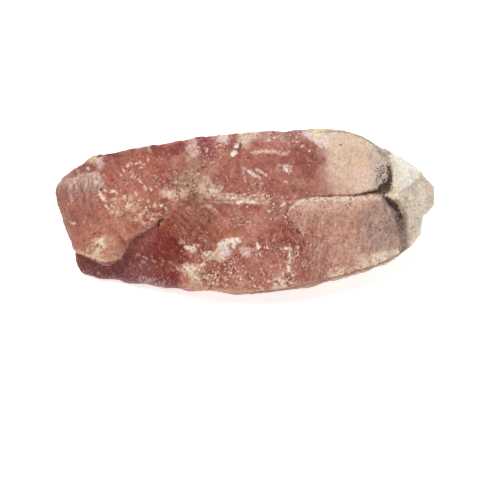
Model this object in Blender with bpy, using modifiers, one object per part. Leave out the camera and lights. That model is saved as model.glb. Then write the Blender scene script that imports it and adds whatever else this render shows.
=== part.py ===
"""Raw calcite: a long broken lump of red calcite with a pale cap grown on one end.

The lump is laid out in the frame of its broad broken face, in millimetres:
    a  along the lump, from the blunt end to the tip
    b  up the broad face
    c  out of the broad face
The face leans back from level, so that the lump rests on a flat cleavage plane at z = 0.
The origin is in the middle of the lump's footprint box, on that plane.
"""

import math

import bmesh
import bpy
from mathutils import Vector, noise

MM = 0.001

# Driving dimensions, in millimetres and degrees.
FACE_LEAN = 30.0  # how far the broad face leans back from level
FACE_HEIGHT = 15.3  # height of the face frame's origin above the resting plane
FOOT_DEPTH = 2.0  # how far the rough blocks reach below the resting plane before it is cut
SKIN = 0.5  # grain of the fused skin
WEAR_PASSES = 2  # smoothing passes that round the broken edges
WEAR = 0.4
TRIANGLES = 10600  # of the skin, before the resting face is cut

# Relief of the broken skin: each is (size of a feature, height of it).
SWELL = (13.0, 0.5)
PLATES = (6.5, 0.18)
GRAIN = (3.0, 0.1)

# Calcite cleaves in three directions, each 75 degrees from the others. One is square to the
# resting face, and the two others lean away from it, the first of them towards this side.
CLEAVAGE_ANGLE = 75.0
CLEAVAGE_SIDE = 98.0
STEP = 2.6  # height between two cleavage levels
RISER = 0.4  # share of that height that is the broken riser between them
PATCH = 15.0  # size of a patch whose levels lie at heights of their own
STEPPED = 0.8  # share of the steps that shows where the skin isn't worn
WORN_ABOVE = -2.0  # depth c down to which the skin is worn smooth
STEPPED_BELOW = -7.0  # depth c from which the steps are whole

# The blocks that the lump broke along. Each is the hull of its corners (a, b, c) on the broad
# face's side, and of its feet (x, y, z), which are places over the resting plane.
BODY_CORNERS = [
    # upper rim, from the blunt end to the tip
    (-37.5, 13.6, -6.0),
    (-28.5, 14.6, -2.8),
    (-13.0, 17.6, -0.8),
    (6.0, 19.7, 0.0),
    (21.5, 20.8, -0.4),
    (27.8, 19.5, -2.2),
    (33.4, 15.9, -4.8),
    # shoulder under the rim
    (-28.0, 11.0, 1.6),
    (-13.0, 14.3, 2.4),
    (6.0, 16.2, 2.9),
    (21.0, 16.4, 2.9),
    (33.4, 12.8, -0.4),
    # crest, where the upper panel meets the lower one
    (-22.0, 3.0, 4.9),
    (0.0, 2.6, 5.3),
    (20.0, 4.0, 4.8),
    (33.8, 4.0, 2.4),
    # lower rim
    (-41.4, -11.4, -7.0),
    (-39.2, -15.0, -7.0),
    (-28.0, -16.4, -3.4),
    (-13.0, -17.7, -0.8),
    (0.0, -18.6, 0.4),
    (14.0, -17.0, 0.0),
    (28.0, -13.0, -1.8),
    (37.2, -8.6, -4.4),
    (38.2, 0.0, -3.4),
]
BODY_FEET = [
    # edge of the resting face, front then back
    (-34.0, -7.6, 0.0),
    (-20.0, -9.6, 0.0),
    (-3.0, -12.6, 0.0),
    (5.0, -12.7, 0.0),
    (14.0, -11.3, 0.0),
    (23.0, -8.8, 0.0),
    (31.0, -5.6, 0.0),
    (36.5, 0.0, 0.0),
    (31.5, 7.5, 0.0),
    (15.0, 11.0, 0.0),
    (-10.0, 12.0, 0.0),
    (-30.0, 8.0, 0.0),
    (-37.5, 1.0, 0.0),
    # bulge of the back, and of the ends
    (-36.5, 8.0, 9.5),
    (-12.0, 14.6, 15.0),
    (8.0, 16.2, 16.0),
    (24.0, 15.6, 13.5),
    (35.5, 7.0, 8.0),
    (-40.2, 0.0, 8.5),
]
# A thick plate that broke lower down on the back, and stands out under the upper one.
BACK_CORNERS = [
    (-20.0, 4.0, -14.0),
    (12.0, 6.0, -14.0),
]
BACK_FEET = [
    (-27.0, 9.0, 0.0),
    (-14.0, 14.5, 0.0),
    (9.0, 15.0, 0.0),
    (21.0, 10.5, 0.0),
    (-27.5, 11.0, 6.8),
    (-15.0, 17.6, 9.4),
    (5.0, 18.6, 10.4),
    (17.0, 16.6, 8.6),
    (22.5, 12.5, 6.0),
    (-24.0, 9.0, 9.5),
    (14.0, 12.0, 11.5),
]
LOBE_CORNERS = [
    # outline of the blunt end
    (-38.6, 12.6, -5.0),
    (-41.6, 10.5, -4.4),
    (-45.1, 6.2, -3.8),
    (-44.5, 1.2, -3.6),
    (-41.7, -4.8, -2.8),
    (-40.8, -9.0, -2.0),
    # lower lip, which stands over the hollow
    (-40.0, -9.7, 0.6),
    (-37.0, -11.0, 2.0),
    (-33.4, -12.5, 2.5),
    (-31.0, -12.9, 2.3),
    (-29.0, -11.4, 2.5),
    (-27.0, -7.2, 3.2),
    # its face
    (-43.4, 5.5, 0.4),
    (-41.2, 0.0, 2.0),
    (-37.5, -5.0, 3.7),
    (-31.0, -5.0, 4.6),
    (-27.0, 3.0, 5.6),
    (-38.0, 8.6, 1.8),
    (-33.2, 10.2, 1.8),
    (-26.0, 10.0, 2.4),
    (-35.5, 13.6, -3.8),
    # underneath
    (-38.0, -8.4, -4.0),
    (-31.5, -10.0, -3.5),
    (-26.0, -6.0, -3.0),
    (-26.0, 9.0, -6.0),
]
LOBE_FEET = [(-40.4, -1.0, 6.0), (-39.5, 6.0, 7.5)]
SHOULDER_CORNERS = [
    (-31.0, 10.8, 2.0),
    (-30.0, -4.0, 4.9),
    (-27.0, -6.4, 3.6),
    (-24.2, -5.3, 4.0),
    (-22.0, -3.7, 4.4),
    (-19.3, -1.6, 4.9),
    (-14.0, 2.8, 5.6),
    (-16.0, 10.0, 4.1),
    (-27.0, 3.0, 5.8),
    (-27.0, -4.0, -2.0),
    (-16.0, 0.0, -2.0),
    (-28.0, 9.0, -4.0),
]
SLAB_CORNERS = [
    # upper edge, which stands proud of the upper panel
    (-13.0, 2.0, 5.8),
    (0.0, 2.3, 6.3),
    (12.0, 3.2, 6.5),
    (20.0, 3.7, 6.2),
    (27.0, 3.9, 5.4),
    (31.5, 3.9, 4.6),
    (34.0, 2.8, 3.7),
    # end at the dark seam
    (36.4, 0.4, 2.6),
    (37.4, -3.0, 1.1),
    (37.8, -8.0, -1.2),
    (36.6, -10.0, -1.8),
    # lower rim
    (31.0, -12.7, 0.2),
    (23.0, -15.5, 1.6),
    (14.0, -17.6, 2.6),
    (5.0, -18.9, 3.1),
    (-4.0, -18.8, 3.0),
    (-11.0, -17.9, 1.6),
    (-17.0, -17.2, -1.4),
    # side to the hollow, into which it runs out
    (-19.0, -9.0, 0.5),
    (-18.6, -3.0, 3.0),
    (-17.0, 0.4, 4.8),
    (-10.5, -8.0, 4.5),
    # swell of the panel
    (4.0, -8.0, 5.6),
    (20.0, -6.0, 5.1),
    # underneath
    (-12.0, 1.0, -3.0),
    (32.0, 1.0, -3.0),
    (35.0, -8.0, -6.0),
    (12.0, -15.5, -5.0),
    (-10.0, -16.5, -5.0),
]
PLATE_CORNERS = [
    (14.4, 3.0, 6.9),
    (10.4, 0.6, 6.9),
    (10.2, -1.6, 6.7),
    (11.4, -3.8, 6.5),
    (12.8, -5.8, 6.1),
    (14.2, -8.6, 5.5),
    (18.0, 3.4, 6.8),
    (28.0, 3.6, 5.7),
    (34.6, 1.0, 3.6),
    (32.0, -8.0, 1.6),
    (17.0, -12.0, 3.4),
    (14.0, 1.6, 2.0),
    (14.0, -7.0, 1.0),
    (28.0, 1.0, 1.0),
]
CAP_CORNERS = [
    (34.0, 15.4, -4.4),
    (37.4, 14.0, -4.9),
    (42.6, 10.0, -6.0),
    (41.8, 8.8, -2.9),
    (39.8, 6.5, -1.2),
    (37.2, 4.6, 0.2),
    (34.6, 4.0, 1.4),
    (34.4, 9.5, 0.9),
    (34.4, 13.2, -1.2),
    (38.0, 9.0, 0.3),
    (31.0, 14.0, -12.0),
    (39.0, 8.0, -12.0),
    (31.0, 2.0, -4.0),
    (31.0, 13.0, -4.0),
]
CAP_FEET = [(32.0, 9.0, 0.0), (34.0, 10.2, 6.0), (37.5, 5.0, 4.5)]
TIP_CORNERS = [
    (42.9, 9.0, -6.4),
    (45.7, 6.3, -7.2),
    (45.8, 3.0, -7.6),
    (44.9, 0.2, -8.0),
    (42.8, -1.6, -7.6),
    (41.8, 7.4, -4.3),
    (42.8, 3.0, -3.8),
    (39.4, 4.8, -1.9),
    (36.0, 3.6, 0.4),
    (37.4, 1.0, 0.0),
    (42.8, 2.6, -12.5),
    (41.8, 6.6, -11.5),
    (33.0, 0.0, -6.0),
]
TIP_FEET = [(37.5, -3.0, 0.0), (39.5, 0.5, 0.0), (39.0, 4.5, 0.0), (32.0, 9.0, 0.0)]
SKIRT_CORNERS = [
    (42.2, -2.0, -7.2),
    (42.3, -5.4, -8.0),
    (40.4, -7.6, -8.4),
    (38.0, -9.0, -8.0),
    (35.6, -10.8, -6.0),
    (36.8, -9.6, -3.0),
    (37.6, 1.2, 0.1),
    (38.2, -4.0, -1.4),
    (39.8, -2.0, -2.6),
    (39.4, 2.0, -1.8),
    (32.0, 0.0, -6.0),
    (32.0, -9.0, -6.0),
]
SKIRT_FEET = [(31.0, -6.0, 0.0), (36.5, -4.4, 0.0), (39.5, 0.5, 0.0)]


def on_face(a, b, c):
    """A place given in the broad face's frame, in millimetres, as a point of the lump in metres."""
    lean = math.radians(FACE_LEAN)
    across = b * math.cos(lean) - c * math.sin(lean)
    up = FACE_HEIGHT + b * math.sin(lean) + c * math.cos(lean)
    return Vector((a, across, up)) * MM


def over_foot(x, y, z):
    """A place over the resting plane, in millimetres. A foot reaches below it, to be cut off later."""
    return Vector((x, y, z if z > 0 else -FOOT_DEPTH)) * MM


def add_block(lump, corners, feet=()):
    """Adds the hull of these corners and feet to the lump, as a closed block of its own."""
    places = [on_face(*corner) for corner in corners] + [over_foot(*foot) for foot in feet]
    block = bmesh.new()
    for place in places:
        block.verts.new(place)
    hull = bmesh.ops.convex_hull(block, input=block.verts)
    inside = {e for e in hull["geom_interior"] + hull["geom_unused"] if isinstance(e, bmesh.types.BMVert)}
    bmesh.ops.delete(block, geom=list(inside), context="VERTS")
    bmesh.ops.recalc_face_normals(block, faces=block.faces)
    shell = bpy.data.meshes.new("block")
    block.to_mesh(shell)
    block.free()
    lump.from_mesh(shell)
    bpy.data.meshes.remove(shell)


def modified(name, mesh, kind, **settings):
    """The mesh after one modifier, as a new mesh."""
    holder = bpy.data.objects.new(name, mesh)
    bpy.context.scene.collection.objects.link(holder)
    modifier = holder.modifiers.new(kind.title(), kind)
    for setting, value in settings.items():
        setattr(modifier, setting, value)
    bpy.context.view_layer.update()
    graph = bpy.context.evaluated_depsgraph_get()
    result = bpy.data.meshes.new_from_object(holder.evaluated_get(graph))
    bpy.data.objects.remove(holder)
    return result


def cleavage_directions():
    """The normals of the three cleavage planes."""
    apart = math.radians(CLEAVAGE_ANGLE)
    turn = math.acos((math.cos(apart) - math.cos(apart) ** 2) / math.sin(apart) ** 2)
    side = math.radians(CLEAVAGE_SIDE)
    leaning = [
        Vector((math.sin(apart) * math.cos(way), math.sin(apart) * math.sin(way), math.cos(apart)))
        for way in (side, side + turn)
    ]
    return [Vector((0, 0, 1))] + leaning


def to_cleavage_level(height):
    """Snaps a height to the nearest cleavage level, with a short riser between two levels."""
    level = math.floor(height / STEP)
    past = height / STEP - level
    climb = min(1.0, max(0.0, (past - 0.5) / RISER + 0.5))
    return (level + climb) * STEP


def depth(place):
    """The coordinate c of a place, in millimetres, out of the broad face."""
    lean = math.radians(FACE_LEAN)
    return (place.z - FACE_HEIGHT) * math.cos(lean) - place.y * math.sin(lean)


def cleavage_step(place, normal, directions):
    """How far a point of the skin moves to lie on a cleavage level of the patch that it is in."""
    share = (WORN_ABOVE - depth(place)) / (WORN_ABOVE - STEPPED_BELOW)
    share = STEPPED * max(0.0, min(1.0, share))
    patch = noise.voronoi(place / PATCH)[1][0]
    shift = Vector((0, 0, 0))
    for number, direction in enumerate(directions):
        facing = abs(normal.dot(direction))
        weight = max(0.0, (facing - 0.7) / 0.3) ** 0.5
        own_level = STEP * noise.noise(patch * 3.7 + Vector((number * 11.0, 0, 0)))
        height = place.dot(direction) + own_level
        shift += direction * (to_cleavage_level(height) - height) * weight
    return shift * share


def plate_height(place):
    """Height of the small broken plate that a place lies on: each has its own level and tilt."""
    spot = place / PLATES[0]
    seed = noise.voronoi(spot)[1][0]
    level = noise.noise(seed * 7.3)
    tilt = noise.noise_vector(seed * 5.1)
    return PLATES[1] * (level + tilt.dot(spot - seed))


def relief(place):
    """How far the broken skin swells at a place."""
    swell = SWELL[1] * noise.noise(place / SWELL[0])
    grain = GRAIN[1] * noise.noise(place / GRAIN[0])
    return swell + plate_height(place) + grain


def wear_edges(bm, passes):
    for _ in range(passes):
        bmesh.ops.smooth_vert(
            bm, verts=bm.verts, factor=WEAR, use_axis_x=True, use_axis_y=True, use_axis_z=True
        )
    bm.normal_update()


def break_skin(bm):
    """Wears the edges of the fused blocks, then raises the swells and the cleavage steps."""
    directions = cleavage_directions()
    wear_edges(bm, WEAR_PASSES)
    shifts = []
    for vert in bm.verts:
        place = vert.co / MM
        step = cleavage_step(place, vert.normal, directions)
        shifts.append((vert.normal * relief(place) + step) * MM)
    for vert, shift in zip(bm.verts, shifts):
        vert.co += shift
    wear_edges(bm, WEAR_PASSES)


def cut_resting_face(bm):
    """Cuts the lump off flat at z = 0, on the cleavage plane that it rests on."""
    cut = bmesh.ops.bisect_plane(
        bm,
        geom=bm.verts[:] + bm.edges[:] + bm.faces[:],
        dist=1e-6,
        plane_co=(0, 0, 0),
        plane_no=(0, 0, 1),
        clear_inner=True,
    )
    rim = [e for e in cut["geom_cut"] if isinstance(e, bmesh.types.BMEdge)]
    bmesh.ops.holes_fill(bm, edges=rim)
    bmesh.ops.triangulate(bm, faces=bm.faces)
    bmesh.ops.recalc_face_normals(bm, faces=bm.faces)


def centre_on_origin(bm):
    """Moves the lump along the resting plane until the origin is in the middle of its box."""
    for axis in (0, 1):
        ends = [vert.co[axis] for vert in bm.verts]
        middle = (min(ends) + max(ends)) / 2
        print("moved along axis", axis, "by", round(-middle / MM, 3), "mm")
        for vert in bm.verts:
            vert.co[axis] -= middle


def calcite_material():
    material = bpy.data.materials.new("red_calcite")
    material.use_nodes = True
    shader = material.node_tree.nodes["Principled BSDF"]
    shader.inputs["Base Color"].default_value = (0.45, 0.20, 0.15, 1)
    shader.inputs["Roughness"].default_value = 0.5
    shader.inputs["Metallic"].default_value = 0.0
    return material


def build_lump():
    lump = bmesh.new()
    add_block(lump, BODY_CORNERS, BODY_FEET)
    add_block(lump, BACK_CORNERS, BACK_FEET)
    add_block(lump, LOBE_CORNERS, LOBE_FEET)
    add_block(lump, SHOULDER_CORNERS)
    add_block(lump, SLAB_CORNERS)
    add_block(lump, PLATE_CORNERS)
    add_block(lump, CAP_CORNERS, CAP_FEET)
    add_block(lump, TIP_CORNERS, TIP_FEET)
    add_block(lump, SKIRT_CORNERS, SKIRT_FEET)
    blocks = bpy.data.meshes.new("blocks")
    lump.to_mesh(blocks)
    lump.free()

    skin = modified("fused", blocks, "REMESH", mode="VOXEL", voxel_size=SKIN * MM)
    bm = bmesh.new()
    bm.from_mesh(skin)
    break_skin(bm)
    bmesh.ops.triangulate(bm, faces=bm.faces)
    fine_triangles = len(bm.faces)
    bm.to_mesh(skin)
    bm.free()

    lighter = modified("lighter", skin, "DECIMATE", ratio=min(1.0, TRIANGLES / fine_triangles))
    bm = bmesh.new()
    bm.from_mesh(lighter)
    cut_resting_face(bm)
    centre_on_origin(bm)
    mesh = bpy.data.meshes.new("raw_calcite")
    bm.to_mesh(mesh)
    bm.free()
    mesh.materials.append(calcite_material())
    mesh.shade_smooth()
    mesh.set_sharp_from_angle(angle=math.radians(25))
    return mesh


def main():
    for old in list(bpy.data.objects):
        bpy.data.objects.remove(old)
    collection = bpy.data.collections.new("raw_calcite")
    bpy.context.scene.collection.children.link(collection)
    collection.objects.link(bpy.data.objects.new("raw_calcite", build_lump()))


main()
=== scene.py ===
# %% [markdown]
# # A raw lump of red calcite
#
# The stone is a broken piece of a calcite vein, about nine centimetres long. Its broad face looks up
# and towards us: brick red in the middle, smoky pink on the right, and creamy white at the tip, where
# a thin black mineral seam cuts across. Nothing on it was ever sawn or polished, so the whole look is
# in two things: a surface that is rough at every scale, and colour that changes every few millimetres.
#
# The plain solid already has the size and the large facets. This script lays a fine skin over it,
# roughens the skin, paints it, and puts it in a small studio.

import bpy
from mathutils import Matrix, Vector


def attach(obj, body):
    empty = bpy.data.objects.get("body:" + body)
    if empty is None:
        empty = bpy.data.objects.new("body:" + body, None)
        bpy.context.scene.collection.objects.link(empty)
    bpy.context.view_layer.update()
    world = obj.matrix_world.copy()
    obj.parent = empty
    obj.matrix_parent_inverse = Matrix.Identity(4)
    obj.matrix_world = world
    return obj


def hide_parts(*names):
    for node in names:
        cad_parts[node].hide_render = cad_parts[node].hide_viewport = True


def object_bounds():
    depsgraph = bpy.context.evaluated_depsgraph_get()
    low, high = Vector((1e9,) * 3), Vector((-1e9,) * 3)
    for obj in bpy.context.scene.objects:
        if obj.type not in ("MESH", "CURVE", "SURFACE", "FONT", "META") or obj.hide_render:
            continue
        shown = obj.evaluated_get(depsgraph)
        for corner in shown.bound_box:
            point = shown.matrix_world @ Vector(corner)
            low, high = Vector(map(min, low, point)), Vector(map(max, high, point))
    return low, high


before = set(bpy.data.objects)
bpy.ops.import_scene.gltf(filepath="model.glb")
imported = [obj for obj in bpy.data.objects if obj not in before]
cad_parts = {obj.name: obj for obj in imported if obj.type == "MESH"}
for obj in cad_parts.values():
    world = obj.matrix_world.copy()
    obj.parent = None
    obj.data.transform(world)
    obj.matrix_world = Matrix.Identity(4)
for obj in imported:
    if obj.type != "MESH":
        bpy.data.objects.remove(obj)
cad_low, cad_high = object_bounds()
print("plain solid from", tuple(cad_low), "to", tuple(cad_high))

# %% Tools for the rest of the lesson
import math

import bmesh
import bpy
import numpy as np
from mathutils import Matrix, Vector, noise

MM = 0.001


def new_object(name, data):
    """A new object in the scene that shows this mesh, lamp or camera."""
    made = bpy.data.objects.new(name, data)
    bpy.context.scene.collection.objects.link(made)
    return made


def soften(mesh, vertices):
    """One round of smoothing over some vertices."""
    bmesh.ops.smooth_vert(mesh, verts=vertices, factor=0.5, use_axis_x=True, use_axis_y=True, use_axis_z=True)
    mesh.normal_update()


print("lengths in millimetres are times", MM)

# %% [markdown]
# ## A skin fine enough to sculpt
#
# The solid has fewer than ten thousand triangles. Grain and chips need points a few tenths of a
# millimetre apart, and evenly spread. A voxel remesh gives exactly that: it wraps the solid in small
# square faces, whatever its own triangles were. Subdividing would keep the old long triangles, and
# spread the new points badly. The copy's doubled corners are merged first, so that it is one closed
# skin.

# %% Copy the solid and wrap it in small faces
SKIN_STEP = 0.5 * MM
MERGE = 0.005 * MM


def wrapped(mesh):
    """A new mesh of small even faces, laid over a closed mesh."""
    holder = new_object("holder", mesh)
    remesh = holder.modifiers.new("small_faces", "REMESH")
    remesh.mode = "VOXEL"
    remesh.voxel_size = SKIN_STEP
    graph = bpy.context.evaluated_depsgraph_get()
    result = bpy.data.meshes.new_from_object(holder.evaluated_get(graph))
    bpy.data.objects.remove(holder)
    return result


def read_points(mesh):
    """The points of a mesh in millimetres, and their normals."""
    places = np.empty(len(mesh.vertices) * 3)
    mesh.vertices.foreach_get("co", places)
    straight = np.empty(len(mesh.vertices) * 3)
    mesh.vertex_normals.foreach_get("vector", straight)
    return places.reshape(-1, 3) / MM, straight.reshape(-1, 3)


merged = bmesh.new()
merged.from_mesh(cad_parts["raw_calcite"].data)
bmesh.ops.remove_doubles(merged, verts=merged.verts, dist=MERGE)
plain_mesh = bpy.data.meshes.new("plain_lump")
merged.to_mesh(plain_mesh)
merged.free()
first_skin = wrapped(plain_mesh)
print("wrapped in", len(first_skin.polygons), "faces")

# %% [markdown]
# ## A sheet laid over the broad face
#
# The broad face leans back by thirty degrees. It is easiest to think of it as a sheet of paper: one
# number says how far across the stone a point is, one how far up the face, and one how far it stands
# out of the sheet. Every marking below is drawn on that sheet in real millimetres, as it is seen from
# half a metre in front. Points that stand out of the sheet look a little larger from there, so the
# drawing is spread by their height.

# %% From the stone to the sheet
FACE_LEAN = math.radians(30)
FACE_HEIGHT = 15.3
EYE_DISTANCE = 500.0
EYE_ACROSS = 1.07
EYE_UP = -9.4
OUTWARD = np.array([0.0, -math.sin(FACE_LEAN), math.cos(FACE_LEAN)])
SHEET_UP = np.array([0.0, math.cos(FACE_LEAN), math.sin(FACE_LEAN)])
LEVEL = np.array([1.0, 0.0, 0.0])


def sheet_places(places):
    """Across, up and out of the sheet, in millimetres, for points in millimetres."""
    height = places[:, 2] - FACE_HEIGHT
    out = height * math.cos(FACE_LEAN) - places[:, 1] * math.sin(FACE_LEAN)
    up = places[:, 1] * math.cos(FACE_LEAN) + height * math.sin(FACE_LEAN)
    nearer = EYE_DISTANCE / (EYE_DISTANCE - out)
    across = EYE_ACROSS + (places[:, 0] - EYE_ACROSS) * nearer
    up = EYE_UP + (up - EYE_UP) * nearer
    return across, up, out


def rise(low, high, value):
    """0 below low, 1 above high, and a soft rise between."""
    share = np.clip((value - low) / (high - low), 0.0, 1.0)
    return share * share * (3.0 - 2.0 * share)


print("the sheet leans %.0f degrees" % math.degrees(FACE_LEAN))

# %% [markdown]
# ## Splitting the back along flat planes
#
# Calcite breaks along three sets of flat planes, which meet at seventy-five degrees. The broad face has
# crumbled and hides them, but the broken sides show them as flat steps. The stone is thought of as
# stacked blocks. What stands out of a block's own plane is cut back to it, first in large blocks and
# then in small ones.

# %% Flat steps on the sides
CLEAVAGE_ANGLE = math.radians(75)
BACKWARD = Vector((0.30, 0.92, -0.26))
LARGE_BLOCK = (8.0, 12.0)
SMALL_BLOCK = (2.8, 4.6)
KEPT = 0.5


def cleavage_directions():
    """The three directions square to calcite's flat planes, the first one looking out of the back."""
    first = BACKWARD.normalized()
    lean = math.asin(math.sqrt(2 * (1 - math.cos(CLEAVAGE_ANGLE)) / 3))
    sideways = first.cross(Vector((0.4, 0.0, 1.0))).normalized()
    axis = Matrix.Rotation(lean, 3, sideways) @ first
    return [np.array(Matrix.Rotation(math.radians(120 * third), 3, axis) @ first) for third in range(3)]


def blocks_seen(places, number, size):
    """A number for the block each point is in, seen along one direction. No two rows are alike."""
    along_row = places @ directions[(number + 1) % 3] / size[0]
    row = np.floor(along_row + 0.4 * np.sin(1.9 * along_row))
    shift = np.array([noise.cell((r * 3.3 + number, 0.5, 0.5)) for r in row.tolist()])
    along_column = places @ directions[(number + 2) % 3] / size[1] + 3 * shift
    column = np.floor(along_column + 0.4 * np.sin(1.7 * along_column))
    return (row * 1000 + column).astype(int)


def cut_back(places, straight, size, deepest):
    """The move that cuts every block back to a flat plane, in millimetres."""
    move = np.zeros(places.shape)
    for number, direction in enumerate(directions):
        block = blocks_seen(places, number, size)
        for way in (1, -1):
            height = way * (places @ direction)
            looks = way * (straight @ direction)
            for name in np.unique(block[looks > 0.6]):
                members = np.flatnonzero((block == name) & (looks > 0.45))
                level = np.quantile(height[members], KEPT)
                over = np.clip(height[members] - level, 0, deepest)
                fade = rise(0.45, 0.6, looks[members])
                move[members] -= way * direction * (over * fade)[:, None]
    return move


def side_share(places, straight):
    """1 on the broken sides, and 0 on the broad face, along its rim and low along its front."""
    away = 1 - rise(-0.35, -0.1, straight @ OUTWARD)
    _, _, out = sheet_places(places)
    return away * rise(-9.0, -3.0, places[:, 1]) * rise(2.0, 5.0, -out)


directions = cleavage_directions()
for block_size, deepest in ((LARGE_BLOCK, 1.2), (SMALL_BLOCK, 0.5)):
    places, straight = read_points(first_skin)
    share = side_share(places, straight) * rise(0.3, 1.2, places[:, 2])
    places += cut_back(places, straight, block_size, deepest) * share[:, None]
    first_skin.vertices.foreach_set("co", (places * MM).ravel())
    first_skin.update()
print("sides split along", [tuple(d.round(2)) for d in directions])

# %% [markdown]
# ## The rim and the lower edge
#
# Wrapping and softening wear a thin edge down. So the upper rim grows a little before that, and the
# tip a little more. Along the lower right the stone ends on straight breaks. What stands over them is
# trimmed, and what falls short of them near the rim is filled out. The skin is then wrapped once more,
# because all these moves stretched its faces.

# %% Grow the rim, and straighten the lower edge
LOWER_EDGE = [(20.5, -17.1), (33.4, -13.0), (39.0, -8.9), (41.6, -6.0), (42.3, -1.7), (45.0, 1.0)]
DEEPEST_TRIM = 1.6
HIGHEST_FILL = 0.9
RIM_GROWTH = 0.4
TIP_GROWTH = 0.6

places, straight = read_points(first_skin)
across, up, out = sheet_places(places)
near_rim = np.exp(-(straight @ OUTWARD / 0.45) ** 2)
tip_share = rise(36, 41, across) * rise(-8, -4, up)
growth = RIM_GROWTH * np.maximum(rise(-3, 5, up), tip_share) + TIP_GROWTH * tip_share
places += straight * (growth * near_rim)[:, None]
across, up, out = sheet_places(places)
for (x, y), (to_x, to_y) in zip(LOWER_EDGE, LOWER_EDGE[1:]):
    length = math.hypot(to_x - x, to_y - y)
    over = ((to_y - y) * (across - x) - (to_x - x) * (up - y)) / length
    along = ((to_x - x) * (across - x) + (to_y - y) * (up - y)) / length
    beside = rise(-0.5, 0.5, along) * rise(-0.5, 0.5, length - along)
    cut = np.clip(over, 0, DEEPEST_TRIM)
    filled = np.clip(-over, 0, HIGHEST_FILL) * near_rim * rise(-2.5, -1.0, over)
    outwards = ((to_y - y) * LEVEL - (to_x - x) * SHEET_UP) / length
    places -= outwards * ((cut - filled) * beside)[:, None]
first_skin.vertices.foreach_set("co", (places * MM).ravel())
split_skin = wrapped(first_skin)
print("wrapped again in", len(split_skin.polygons), "faces")

# %% [markdown]
# ## More points where they are seen
#
# The front carries the markings, so its faces are divided once more, down to a quarter of a millimetre.
# The flat foot carries none, so its faces are dissolved into large ones. A bmesh does both, and softens
# the small steps that wrapping leaves.

# %% Finer where the markings are, coarser on the foot
FRONT_LOOKS = 0.22
FOOT_HEIGHT = 0.15 * MM
FOOT_BEND = math.radians(4)


def looks_out(vertex):
    """How squarely the skin at a vertex looks out of the broad face, from -1 to 1."""
    return vertex.normal.dot(outward)


skin = bmesh.new()
skin.from_mesh(split_skin)
outward = Vector(OUTWARD)
soften(skin, skin.verts)
for _ in range(2):
    soften(skin, [v for v in skin.verts if looks_out(v) > -0.15 or v.co.z < 0.6 * MM])
front_edges = [e for e in skin.edges if min(looks_out(v) for v in e.verts) > FRONT_LOOKS]
bmesh.ops.subdivide_edges(skin, edges=front_edges, cuts=1, use_grid_fill=True)
soften(skin, [v for v in skin.verts if looks_out(v) > -0.15])
foot = {f for f in skin.faces if max(v.co.z for v in f.verts) < FOOT_HEIGHT}
foot_edges = [e for e in skin.edges if all(f in foot for f in e.link_faces)]
foot_points = [v for v in skin.verts if all(f in foot for f in v.link_faces)]
bmesh.ops.dissolve_limit(skin, angle_limit=FOOT_BEND, edges=foot_edges, verts=foot_points)
bmesh.ops.triangulate(skin, faces=[f for f in skin.faces if len(f.verts) > 4])
skin_mesh = bpy.data.meshes.new("calcite_lump")
skin.to_mesh(skin_mesh)
triangles = sum(len(f.verts) - 2 for f in skin.faces)
skin.free()
print(len(skin_mesh.vertices), "points,", triangles, "triangles")

# %% Where each point lies, and which way it looks
points, normals = read_points(skin_mesh)
across, up, out = sheet_places(points)
facing = normals @ OUTWARD
front = rise(-0.14, 0.02, facing)
sides = side_share(points, normals)
blocks = blocks_seen(points, 0, LARGE_BLOCK) % 977
block_tone = np.array([noise.cell((b * 1.3, 0.5, 0.5)) for b in blocks.tolist()])
print("front over", int((front > 0.5).sum()), "points, sides over", int((sides > 0.5).sum()))

# %% [markdown]
# ## Noise, the stonemason's randomness
#
# Real grain has no pattern, but it has a size. Each field below is smooth noise of one grain size,
# read at the points' own places, so it runs unbroken round edges and looks the same on every run.

# %% Grain fields
def grain(size, seed, octaves=1, stretch=1.0, lean=0.0, moved_by=0.0):
    """Noise from about -1 to 1, with grains of this size in millimetres.

    The grains may be stretched along a line on the sheet, which leans this many degrees from level,
    and the whole field may be moved down and to the right by some millimetres.
    """
    turn = math.radians(lean)
    long_way = math.cos(turn) * LEVEL + math.sin(turn) * SHEET_UP
    short_way = math.cos(turn) * SHEET_UP - math.sin(turn) * LEVEL
    read_at = points - 0.7 * moved_by * (LEVEL - SHEET_UP)
    spots = np.stack([read_at @ long_way / stretch, read_at @ short_way, read_at @ OUTWARD], axis=1)
    spots = spots / size + seed * 17.31
    if octaves == 1:
        return np.array([noise.noise(s) for s in spots.tolist()])
    return np.array([noise.fractal(s, 0.9, 2.1, octaves) for s in spots.tolist()])


def ranked(field):
    """The rank of each value from 0 to 1, so that a threshold picks an exact share of the points."""
    rank = np.empty(len(field))
    rank[np.argsort(field)] = np.linspace(0, 1, len(field))
    return rank


def above(rank, share, edge=0.03):
    """1 on this share of the points, where the rank is highest. Each point may have a share of its own."""
    return rise(1 - share, 1 - share + edge, rank)


broad = grain(11.0, 1, octaves=2)
broad_b = grain(9.0, 2, octaves=2)
middling = grain(3.2, 3, octaves=2)
middling_b = grain(3.0, 4, octaves=2)
small = grain(1.3, 5, octaves=2)
small_b = grain(1.1, 6, octaves=2)
fine = grain(0.55, 7)
fine_b = grain(0.5, 8)
speckle = fine + small
speckle_b = fine_b + small
print("even grain from", round(broad.min(), 2), "to", round(broad.max(), 2))

# %% Pebbles, and grain that leans or stretches
def pebbles(size, seed):
    """0 in the middle of each pebble and about 1 at its edge, with one random value per pebble."""
    spots = points / size + seed * 11.7
    near, value = [], []
    for spot in spots.tolist():
        distances, centres = noise.voronoi(spot)
        near.append(distances[0])
        value.append(noise.cell(centres[0] * 7.3))
    return np.array(near), np.array(value)


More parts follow.
